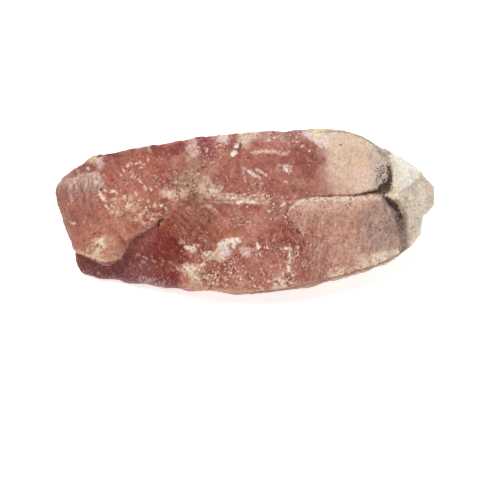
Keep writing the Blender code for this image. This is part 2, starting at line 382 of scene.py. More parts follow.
crumb, crumb_value = pebbles(0.9, 1)
chip_middle, chip_value = pebbles(0.62, 3)
gravel = ranked(grain(0.62, 30, octaves=3, stretch=1.4, lean=125))
# The moved copies mark where painted shadows fall, down and to the right of the crumbs and grit.
gravel_shade = ranked(grain(0.62, 30, octaves=3, stretch=1.4, lean=125, moved_by=0.36))
grit = ranked(grain(0.42, 31, octaves=2, stretch=1.8, lean=115))
grit_shade = ranked(grain(0.42, 31, octaves=2, stretch=1.8, lean=115, moved_by=0.28))
mottle = grain(1.9, 32, octaves=3, stretch=1.3, lean=130)
strokes = grain(0.85, 40, octaves=3, stretch=3.4, lean=128)
blotch = grain(1.5, 41, octaves=3, stretch=1.8, lean=60)
drips = grain(1.5, 42, octaves=3, stretch=3.0, lean=88)
fibre = grain(0.42, 9, octaves=2, stretch=9.0, lean=82)
fibre_b = grain(0.3, 10, octaves=2, stretch=12.0, lean=78)
dust = np.random.default_rng(5).random(len(points))
dust_b = np.random.default_rng(6).random(len(points))
print("fields read at", len(points), "points")

# %% [markdown]
# ## Drawing tools
#
# A patch is drawn as an outline and a vein as a path. Nature has no straight borders, so both are
# read through slightly shifted coordinates: the shift is noise, and it frays every edge.

# %% Outlines and paths on the sheet
FRAY = 0.7
FINE_FRAY = 0.35

frayed_across = across + FRAY * middling + FINE_FRAY * fine
frayed_up = up + FRAY * middling_b + FINE_FRAY * fine_b


def path_distance(path, x, y):
    """Distance of each point to a path of straight pieces, and how far along it the nearest place is."""
    nearest = np.full(len(x), 1e9)
    along = np.zeros(len(x))
    pieces = len(path) - 1
    for i in range(pieces):
        (x0, y0), (x1, y1) = path[i], path[i + 1]
        length = max((x1 - x0) ** 2 + (y1 - y0) ** 2, 1e-9)
        share = np.clip(((x - x0) * (x1 - x0) + (y - y0) * (y1 - y0)) / length, 0.0, 1.0)
        away = np.hypot(x - x0 - share * (x1 - x0), y - y0 - share * (y1 - y0))
        along = np.where(away < nearest, (i + share) / pieces, along)
        nearest = np.minimum(nearest, away)
    return nearest, along


def outline_depth(outline, x, y):
    """How deep inside an outline each point is, in millimetres, and negative outside it."""
    closed = list(outline) + [outline[0]]
    inside = np.zeros(len(x), bool)
    for (x0, y0), (x1, y1) in zip(closed[:-1], closed[1:]):
        if y0 == y1:
            continue
        crosses = (y0 > y) != (y1 > y)
        inside ^= crosses & (x < x0 + (y - y0) * (x1 - x0) / (y1 - y0))
    distance, _ = path_distance(closed, x, y)
    return np.where(inside, distance, -distance)


def patch(outline, edge=0.6, frayed=True):
    """1 inside the outline and 0 outside, soft over the edge width, on the front alone."""
    x, y = (frayed_across, frayed_up) if frayed else (across, up)
    return rise(-edge, edge, outline_depth(outline, x, y)) * front


def streak(path, width, edge=0.3, frayed=True, taper=True):
    """1 along a path and 0 beside it, on the front alone. A taper thins both ends."""
    x, y = across, up
    if frayed:
        x, y = across + 0.35 * small + 0.15 * fine, up + 0.35 * small_b + 0.15 * fine_b
    distance, along = path_distance(path, x, y)
    half = width / 2
    if taper:
        half = half * np.clip(np.minimum(along, 1 - along) * 8 + 0.35, 0.0, 1.0)
    return rise(-edge, edge, half - distance) * front


print("noise moves the edges by %.2f and %.2f mm" % (FRAY, FINE_FRAY))

# %% [markdown]
# ## The features that are both shape and colour
#
# Some lines on the stone are cracks or ridges with a colour of their own. They are drawn once here,
# and used twice: to push the skin in or out, and to tint it.

# %% Lines across the face
SEAM = [(-10, 2.6), (-6, 2.5), (-2, 2.2), (2, 2.2), (5, 2.4), (9, 2.8), (13, 3.0), (17, 3.6), (20, 3.6),
        (26, 3.7), (29, 4.2), (32, 4.7)]
CRUSHED_RIDGE = [(12.5, 2.2), (15, 2.6), (18, 2.8), (22, 2.8), (26, 2.9), (30, 3.1), (32.3, 3.0)]
BLACK_SEAM_UPPER = [(33.8, 5.2), (34.2, 6.4), (34.4, 7.6), (34.4, 9.0), (34.1, 10.6)]
BLACK_SEAM_LOWER = [(33.2, 3.6), (34.5, 2.1), (35.5, 1.2), (36.4, -0.3), (37.0, -1.6)]
BLACK_SEAM_TAIL = [(37.0, -1.6), (37.5, -4.0), (37.8, -6.0), (37.9, -8.0), (37.4, -9.6)]
BLACK_MASS = [(31.2, 4.2), (31.8, 5.4), (32.6, 6.4), (34.4, 6.8), (34.4, 4.8), (33.8, 3.4), (32.4, 3.6)]
FISSURE = [(11.1, -3.0), (11.6, -3.7), (12.2, -4.6), (13.2, -5.9), (13.8, -7.0), (14.0, -8.6)]
CRACK = [(-20.0, -1.3), (-19.4, -2.0), (-20.5, -3.0), (-20.8, -3.8)]

CRUSHED_BAND = [(13, 2.0), (13, 3.2), (20, 3.5), (26, 3.6), (32, 3.9), (32.4, 2.6), (26, 2.3), (18, 2.2)]
seam_line = streak(SEAM[5:], 0.35, edge=0.25, frayed=False)
seam_left = streak(SEAM[:6], 0.5, edge=0.3)
ridge = streak(CRUSHED_RIDGE, 1.0, edge=0.35)
black_core = np.maximum(streak(BLACK_SEAM_UPPER, 0.5, 0.35), streak(BLACK_SEAM_LOWER, 0.9, 0.4))
black_core = np.maximum(black_core, patch(BLACK_MASS, 0.35))
black_tail = streak(BLACK_SEAM_TAIL, 1.7, 0.7)
fissure = streak(FISSURE, 0.45, edge=0.3)
crack = streak(CRACK, 0.5, edge=0.3)
print("seam over", int((seam_line > 0.5).sum()), "points, black seam over", int((black_core > 0.5).sum()))

# %% Areas of one surface
HOLLOW = [(-42, -10.3), (-39.2, -10.3), (-38, -10.9), (-36, -11.4), (-34.5, -12.0), (-33, -12.3),
          (-31.5, -12.1), (-29.6, -11.7), (-29.0, -10.6), (-28.3, -9.3), (-27.7, -8.3), (-26.9, -7.0),
          (-26.3, -6.2), (-25.4, -5.8), (-24, -5.3), (-22.8, -4.4), (-21.8, -3.9), (-20.8, -3.2),
          (-19.6, -4.4), (-18.6, -7.0), (-17.0, -12.0), (-15.5, -18.5), (-30, -19), (-42, -16)]
STRIATED = [(-44.6, 4), (-44.6, 7.6), (-42, 7.8), (-40, 8.3), (-38, 8.5), (-36, 9.2), (-35.3, 9.2),
            (-34.7, 8.2), (-33.7, 7.2), (-33.7, 5.8), (-34.8, 5.0), (-37.5, 4.0), (-40, 3.2)]
WHITE_PATCH = [(-9.8, -10.0), (-7.5, -9.6), (-6.2, -8.0), (-5.0, -7.1), (-3.5, -6.6), (-0.9, -6.7),
               (-1.2, -7.8), (-2.0, -8.3), (-2.4, -9.4), (-3.4, -10.2), (-4.4, -11.6), (-6.5, -12.2),
               (-9.0, -12.0), (-10.2, -11.2)]
CREAM_DIAGONAL = [(-17.8, -12.2), (-16.0, -12.8), (-14.5, -13.6), (-13.0, -12.8), (-11.0, -13.2),
                  (-9.5, -12.2), (-9.6, -14.6), (-10.6, -16.4), (-12.0, -18.2), (-13.6, -16.2),
                  (-14.8, -14.6), (-16.4, -13.4)]
CHIP = [(12.8, 19.4), (15.0, 17.6), (16.5, 16.4), (18.0, 15.5), (20.3, 15.1), (20.0, 16.8), (19.6, 18.2),
        (19.2, 20.2), (13.0, 20.2)]
CAP = [(33.2, 15.6), (34.2, 12.6), (35.0, 10.0), (35.0, 7.6), (34.8, 6.0), (35.0, 4.6), (36.0, 4.2),
       (37.0, 4.5), (38.0, 5.1), (39.0, 5.7), (40.0, 6.6), (41.0, 7.6), (41.6, 8.6), (43.5, 10.0), (38, 16)]
SMOKY = [(28.5, 0), (30, 1.9), (32, 2.5), (34, 2.1), (35.6, 0.5), (36.5, -1.5), (37.1, -4), (37.1, -7),
         (36.3, -9), (33.5, -9.8), (30, -9.4), (28, -8), (27.4, -5), (27.8, -2)]
PEACH = [(18.8, 16.2), (19.4, 12), (19.6, 9), (20, 6.5), (20.8, 3.9), (26, 3.7), (31, 4.3), (34, 4.8),
         (34.6, 8), (34.4, 12), (33.6, 16), (30.4, 19.0), (28.0, 21.0), (24, 22.5), (18.4, 22.5)]

hollow = patch(HOLLOW, 0.35, frayed=False)
striated = patch(STRIATED, 0.5)
white_patch = patch(WHITE_PATCH, 0.4)
cream_diagonal = patch(CREAM_DIAGONAL, 0.4)
chip = patch(CHIP, 0.3, frayed=False)
cap = patch(CAP, 0.4, frayed=False)
smoky = patch(SMOKY, 2.2)
peach = patch(PEACH, 1.9, frayed=False)
print("cap covers", int((cap > 0.5).sum()), "points")

# %% Where the face crumbles
CRUMBLY = (
    (0.25, [(-33, 5), (-29, 4.6), (-25.5, 3.6), (-22, 2.4), (-17, 2.2), (-16.6, -1), (-19.4, -2.6),
            (-22, -3.6), (-26, -3.2), (-30, -1.6), (-32.5, -0.5)]),
    (0.5, [(-29.5, 3.4), (-26, 3.2), (-24.6, 0.6), (-27, -1.2), (-29.6, -0.4)]),
    (0.5, [(-25, 0.5), (-19.6, 2.0), (-18.8, -1.6), (-22.4, -3.2), (-26, -2.4)]),
    (0.4, [(-30, 12.6), (-22, 13.4), (-19, 10), (-21, 4), (-27, 5), (-30, 8)]),
    (0.65, [(-20, 5.4), (-17, 9.8), (-12, 10.6), (-8, 9), (-6, 6), (-5, 3.4), (-14, 2.4), (-20, 2.6)]),
    (0.65, [(-16, 17), (-5, 17.5), (-4, 12), (-9, 9.5), (-14, 11)]),
    (0.5, [(4.4, 18.5), (12.6, 19.4), (13.2, 15.6), (6, 14.8)]),
    (0.5, [(0.5, 8.6), (5, 8.6), (5, 3.4), (0.5, 3.4)]),
    (0.5, [(8, 12), (12, 11), (12, 8), (8, 8)]),
    (0.6, [(-5, 4), (5, 4), (12.5, 3.6), (11.6, -2.4), (7, -2.6), (4.4, 0.4), (-5, 1.4)]),
    (0.7, [(-15.5, -6), (-9, -7), (-8.6, -12.5), (-15.4, -12.6)]),
    (0.8, [(-3, -10.5), (4, -7.6), (12.6, -7.4), (13.4, -12), (12.5, -18.5), (-4, -19.4), (-10, -18.5),
           (-9.6, -15)]),
    (0.35, [(-6, -1), (4, -1), (9, -4), (9, -8), (1, -6), (-5, -3)]),
    (0.3, [(14, -5), (20, -5), (24, -14), (15, -17), (14.4, -9)]),
    (0.7, [(19, -13.2), (30, -10.8), (37, -8.6), (38, -11), (30, -14.8), (19, -17)]),
    (0.14, [(-42, 3), (-34, 3.5), (-31, -2), (-31, -10), (-38, -9)]),
)

crumbly = 0.07 * front + 0.3 * (1 - front) * rise(-0.1, 0.5, broad_b)
for density, outline in CRUMBLY:
    crumbly = np.maximum(crumbly, density * patch(outline, 1.6))
crumbly = crumbly * (0.75 + 0.9 * mottle) * (1 - 0.85 * hollow) * (1 - peach) * (1 - striated)
crumb_share = np.clip(crumbly, 0, 1) * rise(0.05, 0.2, crumbly)
chosen = rise(0.0, 0.08, chip_value - 1 + 0.34 * crumb_share)
chips = (1 - rise(0.26, 0.42, chip_middle)) * chosen
crumbs = np.maximum(above(gravel, 0.18 * crumb_share), chips)
crumb_shade = above(gravel_shade, 0.22 * crumb_share) * (1 - crumbs)
granular = np.maximum(ridge, np.maximum(black_core, 0.8 * cream_diagonal))
print("crumbs on", int((crumbs > 0.4).sum()), "points")

# %% [markdown]
# ## Roughening the skin
#
# A broken calcite face has relief at three sizes: low swells of a few millimetres, grain of about a
# millimetre where crystals let go, and a fine tooth that only catches the light. A displacement texture
# could do this, but plain numbers let each feature have its own depth.

# %% Swells, grain and tooth
SWELL = 0.26
GRAIN = 0.15
TOOTH = 0.09
PIT = 0.2
CRUMB = 0.14
CRUMB_GAP = 0.08
GRANULE = 0.25

smooth_glass = np.clip(0.75 * hollow + 0.5 * striated + 0.35 * smoky + 0.25 * peach, 0, 1)
pits = rise(0.25, 0.6, small) * rise(-0.1, 0.4, middling_b)
rough = (1 - 0.6 * smooth_glass) * (0.45 + 0.55 * rise(0.0, 0.3, np.abs(facing))) * (1 - 0.7 * sides)
relief = rough * (SWELL * middling + GRAIN * small_b + TOOTH * fine - PIT * pits)
relief += CRUMB * crumbs - CRUMB_GAP * crumb_shade
relief += GRANULE * granular * (crumb_value - 0.3) * (1 - rise(0.3, 0.8, crumb))
print("grain from %.2f to %.2f mm" % (relief.min(), relief.max()))

# %% Cracks, ridges and chips
STRIPES = 0.10
GLASSY_STRIPES = 0.08
SEAM_CUT = 0.45
SEAM_LEFT_CUT = 0.25
RIDGE = 0.22
BLACK_CUT = 0.35
BLACK_TAIL_CUT = 0.1
FISSURE_CUT = 0.4
CRACK_CUT = 0.5
PALE_PATCH = 0.12
CHIP_CUT = 0.3

relief += STRIPES * fibre * striated + GLASSY_STRIPES * fibre_b * hollow
relief -= SEAM_CUT * seam_line + SEAM_LEFT_CUT * seam_left
relief += RIDGE * ridge * (0.4 + 0.9 * fine)
relief -= BLACK_CUT * black_core * (0.8 + 0.8 * fine_b) + BLACK_TAIL_CUT * black_tail
relief -= FISSURE_CUT * fissure + CRACK_CUT * crack + CHIP_CUT * chip
relief += PALE_PATCH * (white_patch * (0.4 + small) + cream_diagonal)
print("relief from %.2f to %.2f mm" % (relief.min(), relief.max()))

# %% Push the points along their normals
REST_SOFTENS = 0.9
CONTACT = 0.12

clear_of_floor = rise(0.0, REST_SOFTENS, points[:, 2])
sculpted = points + normals * (relief * clear_of_floor)[:, None]
sculpted = np.clip(sculpted, np.array(cad_low) / MM, np.array(cad_high) / MM)
sculpted[points[:, 2] < CONTACT, 2] = 0.0
skin_mesh.vertices.foreach_set("co", (sculpted * MM).ravel())
skin_mesh.update()
print("box now", sculpted.min(0).round(2), sculpted.max(0).round(2))

# %% [markdown]
# ## Where shade falls and where edges wear
#
# Shade falls in the hollows of a rough surface, so they are painted darker, and its ridges are rubbed
# clean. A smoothed copy of the skin tells them apart: smoothing fills hollows and takes ridges down. A
# few rounds of it find pits and crumbs, and many rounds find creases and edges.

# %% Depth of hollows at two sizes
FEW_ROUNDS = 3
MANY_ROUNDS = 14


def hollow_depth(rounds):
    """How far smoothing lifts each point along its normal, in millimetres, and negative on ridges."""
    copy = bmesh.new()
    copy.from_mesh(skin_mesh)
    for _ in range(rounds):
        soften(copy, copy.verts)
    smoothed = np.array([v.co[:] for v in copy.verts]) / MM
    copy.free()
    lifted = ((smoothed - sculpted) * carved_normals).sum(1)
    return np.where(sculpted[:, 2] < 0.3, 0.0, lifted)


_, carved_normals = read_points(skin_mesh)
pit_depth = hollow_depth(FEW_ROUNDS)
crease_depth = hollow_depth(MANY_ROUNDS)
for name, depth in (("pits and ridges", pit_depth), ("creases and edges", crease_depth)):
    print(name, "from %.3f to %.3f mm" % tuple(np.quantile(depth, (0.01, 0.99))))

# %% [markdown]
# ## Painting the stone
#
# Calcite is white when pure. The red is iron oxide caught between the crystals, the cream is where it
# stayed out, and the black is manganese that crept in along a crack. The colours are laid as a painter
# does: a ground over everything, then large areas, then patches, streaks and crumbs, each over the
# last. They are kept on the points as an attribute, because the borders follow this one stone, and no
# pattern repeats.

# %% The paint box
LIGHT_ON_STONE = 1.2
MIRRORED = 0.018


def paint(tint):
    """The pigment that shows as a red, green and blue in the usual 0 to 255 steps.

    The studio's light brightens it, and the white room mirrored in the surface pales it. Both are
    taken out here, so that a colour can be named as it is seen.
    """
    steps = np.array(tint) / 255
    linear = np.where(steps <= 0.04045, steps / 12.92, ((steps + 0.055) / 1.055) ** 2.4)
    return np.maximum(linear - MIRRORED, 0.004) / LIGHT_ON_STONE


BRICK = (166, 98, 84)
DEEP_RED = (138, 68, 58)
MAROON = (118, 58, 56)
SALMON = (184, 116, 99)
ORANGE_BROWN = (176, 106, 76)
MAUVE = (190, 155, 148)
PINK_WHITE = (232, 206, 194)
WHITE = (245, 232, 222)
LILAC = (222, 202, 206)
CREAM = (224, 196, 164)
PEACH_PINK = (220, 193, 172)
TAN_PINK = (197, 148, 126)
SMOKE = (164, 134, 120)
CAP_WHITE = (238, 233, 220)
TIP_BEIGE = (218, 207, 187)
STRAW = (208, 188, 148)
GREY_GREEN = (150, 128, 108)
OLIVE = (98, 64, 44)
CHARCOAL = (58, 48, 46)
DARK_BROWN = (92, 56, 44)
HOLLOW_RED = (112, 50, 50)
print("white is laid as", paint(WHITE).round(3))

# %% [markdown]
# ## Brushes
#
# Every brush lays one colour: over any share of the points, inside an outline, along a path, or on
# strokes thrown at random. Broken stone is never painted evenly, so a brush may skip the grains whose
# noise is low, and the colour beneath shows between the others. A call names the colour and its share,
# the width of a path, the softness of the edge and the points on the sheet, in millimetres. Two more
# numbers say at which noise the paint starts, and where it is full.

# %% Brushes for shares, areas and lines
NONE_LEFT_OUT = -9.0
ALL_TAKEN = -8.0

colour = np.tile(paint(BRICK), (len(points), 1))


def lay(tint, share):
    """Lays a colour over what is there. A share of 1 covers it."""
    share = np.clip(share, 0, 1)
    colour[:] = colour + (paint(tint) - colour) * share[:, None]


def tell(painted):
    """Prints what has been painted, and the mean of all the paint so far."""
    print(painted, "painted, mean", colour.mean(0).round(3))


def area(tint, share, edge, outline, low=NONE_LEFT_OUT, high=ALL_TAKEN, grains=speckle, within=1.0):
    """Lays a colour inside an outline, on the grains above low, and in full above high."""
    lay(tint, share * within * patch(outline, edge) * rise(low, high, grains))


def line(tint, share, width, edge, path, low=NONE_LEFT_OUT, high=ALL_TAKEN, grains=speckle, within=1.0,
         **drawn):
    """Lays a colour along a path, and picks its grains as an area does."""
    lay(tint, share * within * streak(path, width, edge, **drawn) * rise(low, high, grains))


tell("plain brick red")

# %% The ground over every side
lay(DEEP_RED, 0.75 * rise(0.05, 0.5, broad))
lay(SALMON, 0.6 * rise(0.05, 0.5, -broad))
lay(MAROON, 0.5 * rise(0.15, 0.5, broad_b) * (1 - front))
lay(MAUVE, 0.5 * rise(0.25, 0.55, -broad_b) * (1 - front))
lay(DEEP_RED, 0.45 * rise(0.1, 0.5, middling))
lay(SALMON, 0.5 * rise(0.1, 0.5, middling_b))
lay(TAN_PINK, 0.3 * rise(0.2, 0.55, small))
lay((140, 74, 60), 0.5 * rise(0, 0.6, mottle))
lay((186, 128, 110), 0.45 * rise(0.05, 0.6, -mottle))
lay((126, 64, 54), 0.32 * rise(0.1, 0.6, blotch))
lay((200, 140, 120), 0.3 * rise(0.12, 0.6, -blotch))
tell("ground")

# %% Strokes thrown over the ground
def scattered(outline, count, seed, length=(0.3, 1.2), width=0.28, lean=(0, 180), edge=0.16):
    """Short strokes thrown over an outline, leaning between two angles in degrees from level."""
    dice = np.random.default_rng(seed)
    low, high = np.min(outline, axis=0), np.max(outline, axis=0)
    share = np.zeros(len(points))
    for _ in range(count):
        centre = dice.uniform(low, high)
        size = dice.uniform(*length)
        turn = math.radians(dice.uniform(*lean))
        strength = dice.uniform(0.45, 1.0)
        thick = width * dice.uniform(0.6, 1.3) / 2
        if outline_depth(outline, centre[:1], centre[1:])[0] < 0:
            continue
        reach = size / 2 + thick + edge
        close = np.flatnonzero((np.abs(across - centre[0]) < reach) & (np.abs(up - centre[1]) < reach))
        half = np.array([math.cos(turn), math.sin(turn)]) * size / 2
        ends = [tuple(centre - half), tuple(centre + half)]
        distance, _ = path_distance(ends, across[close], up[close])
        stroke = rise(-edge, edge, thick - distance) * strength
        share[close] = np.maximum(share[close], stroke)
    return share * front


def throw(tint, share, outline, count, seed, within=1.0, **drawn):
    """Lays a colour on short strokes thrown over an outline."""
    lay(tint, share * scattered(outline, count, seed, **drawn) * within)


def throw_both(pale, dark, share, outline, count, seed, **drawn):
    """Throws pale strokes over an outline, and then as many dark ones."""
    throw(pale, share, outline, count, seed, **drawn)
    throw(dark, share, outline, count, seed + 1, **drawn)


WHOLE = [(-46, 14), (32, 20), (36, -14), (-42, -20)]
throw_both((206, 160, 142), (110, 52, 42), 0.4, WHOLE, 420, 71, length=(0.8, 3.5), width=0.16,
           lean=(95, 150))
tell("first strokes")

# %% Blocks on the sides
lay(MAUVE, 0.45 * sides * (block_tone > 0.75) * rise(-0.5, 0.2, middling))
lay(DEEP_RED, 0.4 * sides * (block_tone < 0.25))
lay(PEACH_PINK, 0.55 * (1 - front) * rise(14, 26, points[:, 0] + 5 * broad))
VEINS = (((0.86, 0.1, 0.5), -9, 0.5), ((0.7, -0.2, -0.68), 10, 0.35), ((0.95, 0.3, 0.1), 22, 0.8))
for square_to, distance, thickness in VEINS:
    from_vein = np.abs(points @ np.array(square_to) - distance + 0.5 * middling + 0.15 * small)
    vein = (1 - rise(thickness, thickness + 0.3, from_vein)) * (1 - front)
    lay(PINK_WHITE, 0.7 * vein * rise(-0.4, 0.1, small_b + 0.5 * broad_b))
crust = rise(-0.1, 0.45, broad + 0.5 * mottle) * (1 - front)
lay((188, 146, 126), 0.5 * crust)
lay(CREAM, 0.5 * crust * above(grit, 0.3, 0.2))
tell("sides")

# %% The pale end, all the way round
right_of_seam = rise(33.2, 35.2, points[:, 0] + 0.8 * middling + 0.3 * small)
behind = right_of_seam * (1 - front)
lay(CAP_WHITE, behind)
lay(STRAW, 0.6 * behind * rise(0, 0.4, middling_b))
lay(TIP_BEIGE, 0.7 * behind * rise(0, 0.4, middling))
dark_band = 1 - rise(0.3, 1.3, np.abs(points[:, 0] - 34.2 + 0.9 * middling + 0.5 * small))
lay(CHARCOAL, 0.85 * dark_band * (1 - front) * rise(-0.35, 0.1, fine + small_b))
tell("pale end")

# %% [markdown]
# ## The blunt left end
#
# The left end is a rounded lobe of orange-red calcite that hangs over a dark hollow. Its upper corner
# is a silky, striped cleavage face, and cream shows through near its lip.

# %% Lobe and striped corner
LOBE = [(-47, 3), (-36, 5), (-33, 4.5), (-28, 3.5), (-21, 1.5), (-20.2, -1.5), (-21.5, -3.6), (-24, -5.2),
        (-26.6, -6.4), (-28.4, -9.6), (-29.8, -11.8), (-33, -12.4), (-36, -11.6), (-38, -11), (-42, -9.5),
        (-44, -4)]
lobe = patch(LOBE, 0.5)
area((164, 90, 72), 0.7, 1.5, [(-30, 13.4), (-22, 14.6), (-20, 9), (-22, 4), (-30.6, 5)])
area((168, 104, 80), 0.7, 1.5, [(-32, 10), (-25, 10), (-23, 4), (-31, 5)], -0.4, 0.2, middling)
area((184, 122, 102), 0.7, 1.2, [(-30.2, 11), (-24, 11.6), (-21.5, 9), (-21, 5), (-24, 3.6), (-30.4, 5)],
     -0.5, 0.3, mottle + small)
lay((170, 106, 88), 0.85 * lobe)
area((150, 92, 80), 0.85, 1.8, [(-46, 4), (-38, 4.8), (-35, 2.6), (-36.5, -2), (-43, -4)])
area((160, 96, 76), 0.6, 1.6, [(-39, 1), (-32, 0), (-31, -4), (-38, -5)], -0.3, 0.3, middling)
lay(SALMON, 0.4 * lobe * rise(-0.1, 0.4, middling_b))
area((198, 138, 114), 0.6, 1.8, [(-37, -0.6), (-31, 0.4), (-28, -3), (-27.4, -6.4), (-31, -9), (-36, -6)],
     -0.5, 0.3, middling)
lay((146, 82, 68), 0.45 * lobe * rise(0.1, 0.5, mottle))
lay((156, 112, 102), 0.95 * striated)
lay((196, 164, 152), 0.8 * striated * rise(4.6, 8.2, up + 0.6 * middling))
lay(PINK_WHITE, 0.7 * striated * above(ranked(fibre), 0.3, 0.1) * rise(3.5, 7, up))
lay((140, 98, 92), 0.5 * striated * above(ranked(-fibre), 0.22, 0.1))
for stripe in (-41.3, -39.6, -37.8, -36.5, -35.5):
    line((176, 138, 130), 0.5, 0.6, 0.35, [(stripe, 5.5), (stripe + 0.3, 3), (stripe + 0.4, 0.8)])
area((132, 72, 68), 0.85, 0.4, [(-41.9, 8.1), (-41, 9.9), (-38.5, 11.2), (-37.3, 11.1), (-36.2, 10),
     (-36.2, 9.2), (-38, 8.6)], -0.9, -0.2, small)
line(MAUVE, 0.8, 0.8, 0.3, [(-40.4, 10.6), (-39.8, 9.2), (-39.6, 8.2)])
area((176, 140, 130), 0.7, 0.5, [(-43.6, 8.4), (-41.4, 10.2), (-40.6, 8.6), (-42.6, 7.6)])
line(CREAM, 1, 0.3, 0.15, [(-37.7, 10.4), (-37.3, 9.6)])
tell("lobe")

# %% Pale corner and red block under the rim
area((214, 196, 160), 0.85, 0.4, [(-38.5, 12.4), (-37.4, 11.4), (-36.2, 10.6), (-34.9, 11.8), (-34.9, 14),
     (-37, 13.5)], -0.8, -0.1)
area((205, 178, 172), 0.85, 0.5, [(-36, 11.5), (-34.7, 12.8), (-33.6, 12.6), (-33.3, 10.6), (-34.3, 9.6),
     (-35.5, 9.7)])
area(PINK_WHITE, 0.6, 0.4, [(-35.6, 11.4), (-34.6, 12.2), (-34.2, 11.2), (-35.2, 10.2)])
area((146, 76, 78), 0.95, 0.5, [(-33.5, 12.9), (-29.9, 13.2), (-29.8, 10.2), (-33.2, 9.9)])
line((78, 48, 44), 0.9, 0.7, 0.35, [(-35, 13.2), (-33.4, 13.3), (-31.2, 13.2), (-29.9, 13)], frayed=False)
area((162, 84, 70), 0.95, 0.6, [(-34.6, 9.4), (-33.4, 10.1), (-30.6, 9.9), (-30.2, 7), (-31, 5.4),
     (-33.3, 5.2), (-33.8, 7.3)])
line(CHARCOAL, 1, 0.4, 0.2, [(-34.5, 4.9), (-34.2, 4.6)])
line(CREAM, 0.9, 0.6, 0.3, [(-34.7, 4.5), (-33.9, 3.7), (-33.6, 2.6), (-33.3, 2)], -0.5, -0.1, fine)
line(CREAM, 0.85, 0.45, 0.25, [(-33.5, 1.5), (-32.8, 0.6), (-32.2, 0)], -0.4, 0, fine_b)
line(CREAM, 0.8, 0.4, 0.25, [(-32.4, 4.5), (-31, 4.4), (-30, 4.6)], -0.4, 0, fine)
line(MAUVE, 0.8, 0.5, 0.35, [(-41.7, 3.9), (-41.4, 1.8)])
line(PINK_WHITE, 1, 0.5, 0.25, [(-41.6, -2.6), (-40.6, -3.3)])
tell("corner")

# %% Cream blotches on the lobe, and its lip
LIP = [(-40.2, -9.3), (-39.2, -10.1), (-38, -10.6), (-36, -11.1), (-34.5, -11.7), (-33, -12),
       (-31.5, -11.8), (-29.8, -11.4), (-29.3, -10.6), (-28.6, -9.5), (-28, -8.5), (-27.2, -7),
       (-26.6, -6.1), (-25.6, -5.6), (-24, -5), (-23, -4.3), (-22, -3.9)]
area((196, 150, 124), 0.7, 1.2, [(-32.6, 1.8), (-29.6, 3.6), (-26.6, 3.8), (-25, 1.6), (-23, -0.6),
     (-25, -2.6), (-31, -1.6)])
crumb_zone = patch([(-33, 3.6), (-29, 4.4), (-25, 3.4), (-21, 2), (-17.6, 1.6), (-19.4, -1.6),
                   (-22.6, -3.4), (-27, -2.8), (-31.6, -1.6)], 1)
lay((206, 164, 138), 0.7 * crumb_zone * above(ranked(small + 0.4 * fine), 0.22, 0.2))
lay((128, 66, 52), 0.65 * crumb_zone * above(ranked(-small_b - 0.4 * fine_b), 0.26, 0.2))
lay((236, 214, 192), 0.85 * crumb_zone * above(ranked(small + 0.4 * fine), 0.05, 0.06))
area(CREAM, 0.85, 0.7, [(-29.6, 0.2), (-28.6, 2.8), (-26.8, 3.2), (-25.4, 1.8), (-26.2, -0.3), (-28, -0.5)],
     -0.1, 0.15)
area(CREAM, 0.8, 0.6, [(-31.9, 0.8), (-30.2, 0.9), (-29.8, -1.2), (-31.4, -1.4)], -0.2, 0.1, speckle_b)
area(CREAM, 0.8, 0.6, [(-25.6, -1), (-23.6, -0.8), (-22.2, -2), (-23.4, -3.2), (-25.4, -2.4)], -0.1, 0.15,
     fine + small_b)
area((96, 44, 36), 0.7, 0.7, [(-30, 0.4), (-27, -0.4), (-25.4, -2.2), (-27, -3.4), (-29.6, -1.6)], 0, 0.25,
     fine_b + 0.6 * small)
area((194, 148, 120), 0.7, 1.2, [(-38, -8.8), (-36, -6.4), (-33.4, -5.6), (-31, -7.4), (-30, -10.6),
     (-31.6, -12.2), (-34.5, -11.6), (-37.4, -10.8)], -0.9, 0)
area((214, 188, 154), 0.8, 0.8, [(-35.6, -6.6), (-33.6, -6.2), (-33, -9), (-34.8, -11.4), (-36.6, -10.6)],
     -0.5, 0)
line((236, 224, 204), 1, 1, 0.5, [(-34.6, -6.5), (-34.2, -8), (-34.9, -9.6)], -0.6, -0.1)
line(CREAM, 0.8, 0.8, 0.4, [(-37.8, -9), (-37.4, -9.7)])
# Pale lines along the lip's edge are painted highlight, where the edge catches the light.
line(TAN_PINK, 0.65, 0.8, 0.4, LIP, within=1 - hollow, taper=False)
line((206, 166, 132), 0.65, 0.9, 0.5, LIP[:10], -0.5, 0.2, within=1 - hollow)
tell("lip")

# %% [markdown]
# ## The dark hollow
#
# Under the lip the stone is glassy and very dark red, because light goes deep into clear crystal there
# and little comes back. A band along the lip and the crack at its corner are painted darker still, as
# the shade under the overhang. Fine upright stripes show its cleavage.

# %% Hollow
lay(HOLLOW_RED, hollow)
lay((138, 74, 72), 0.75 * hollow * rise(-0.1, 0.5, broad_b + 0.5 * middling))
lay((124, 72, 74), 0.8 * hollow * rise(-11, -14, up))
lay((150, 96, 92), 0.35 * hollow * above(ranked(fibre_b), 0.3, 0.15))
area((150, 84, 76), 0.6, 1.6, [(-27, -7), (-22, -4.5), (-20, -8), (-26, -11)], within=hollow)
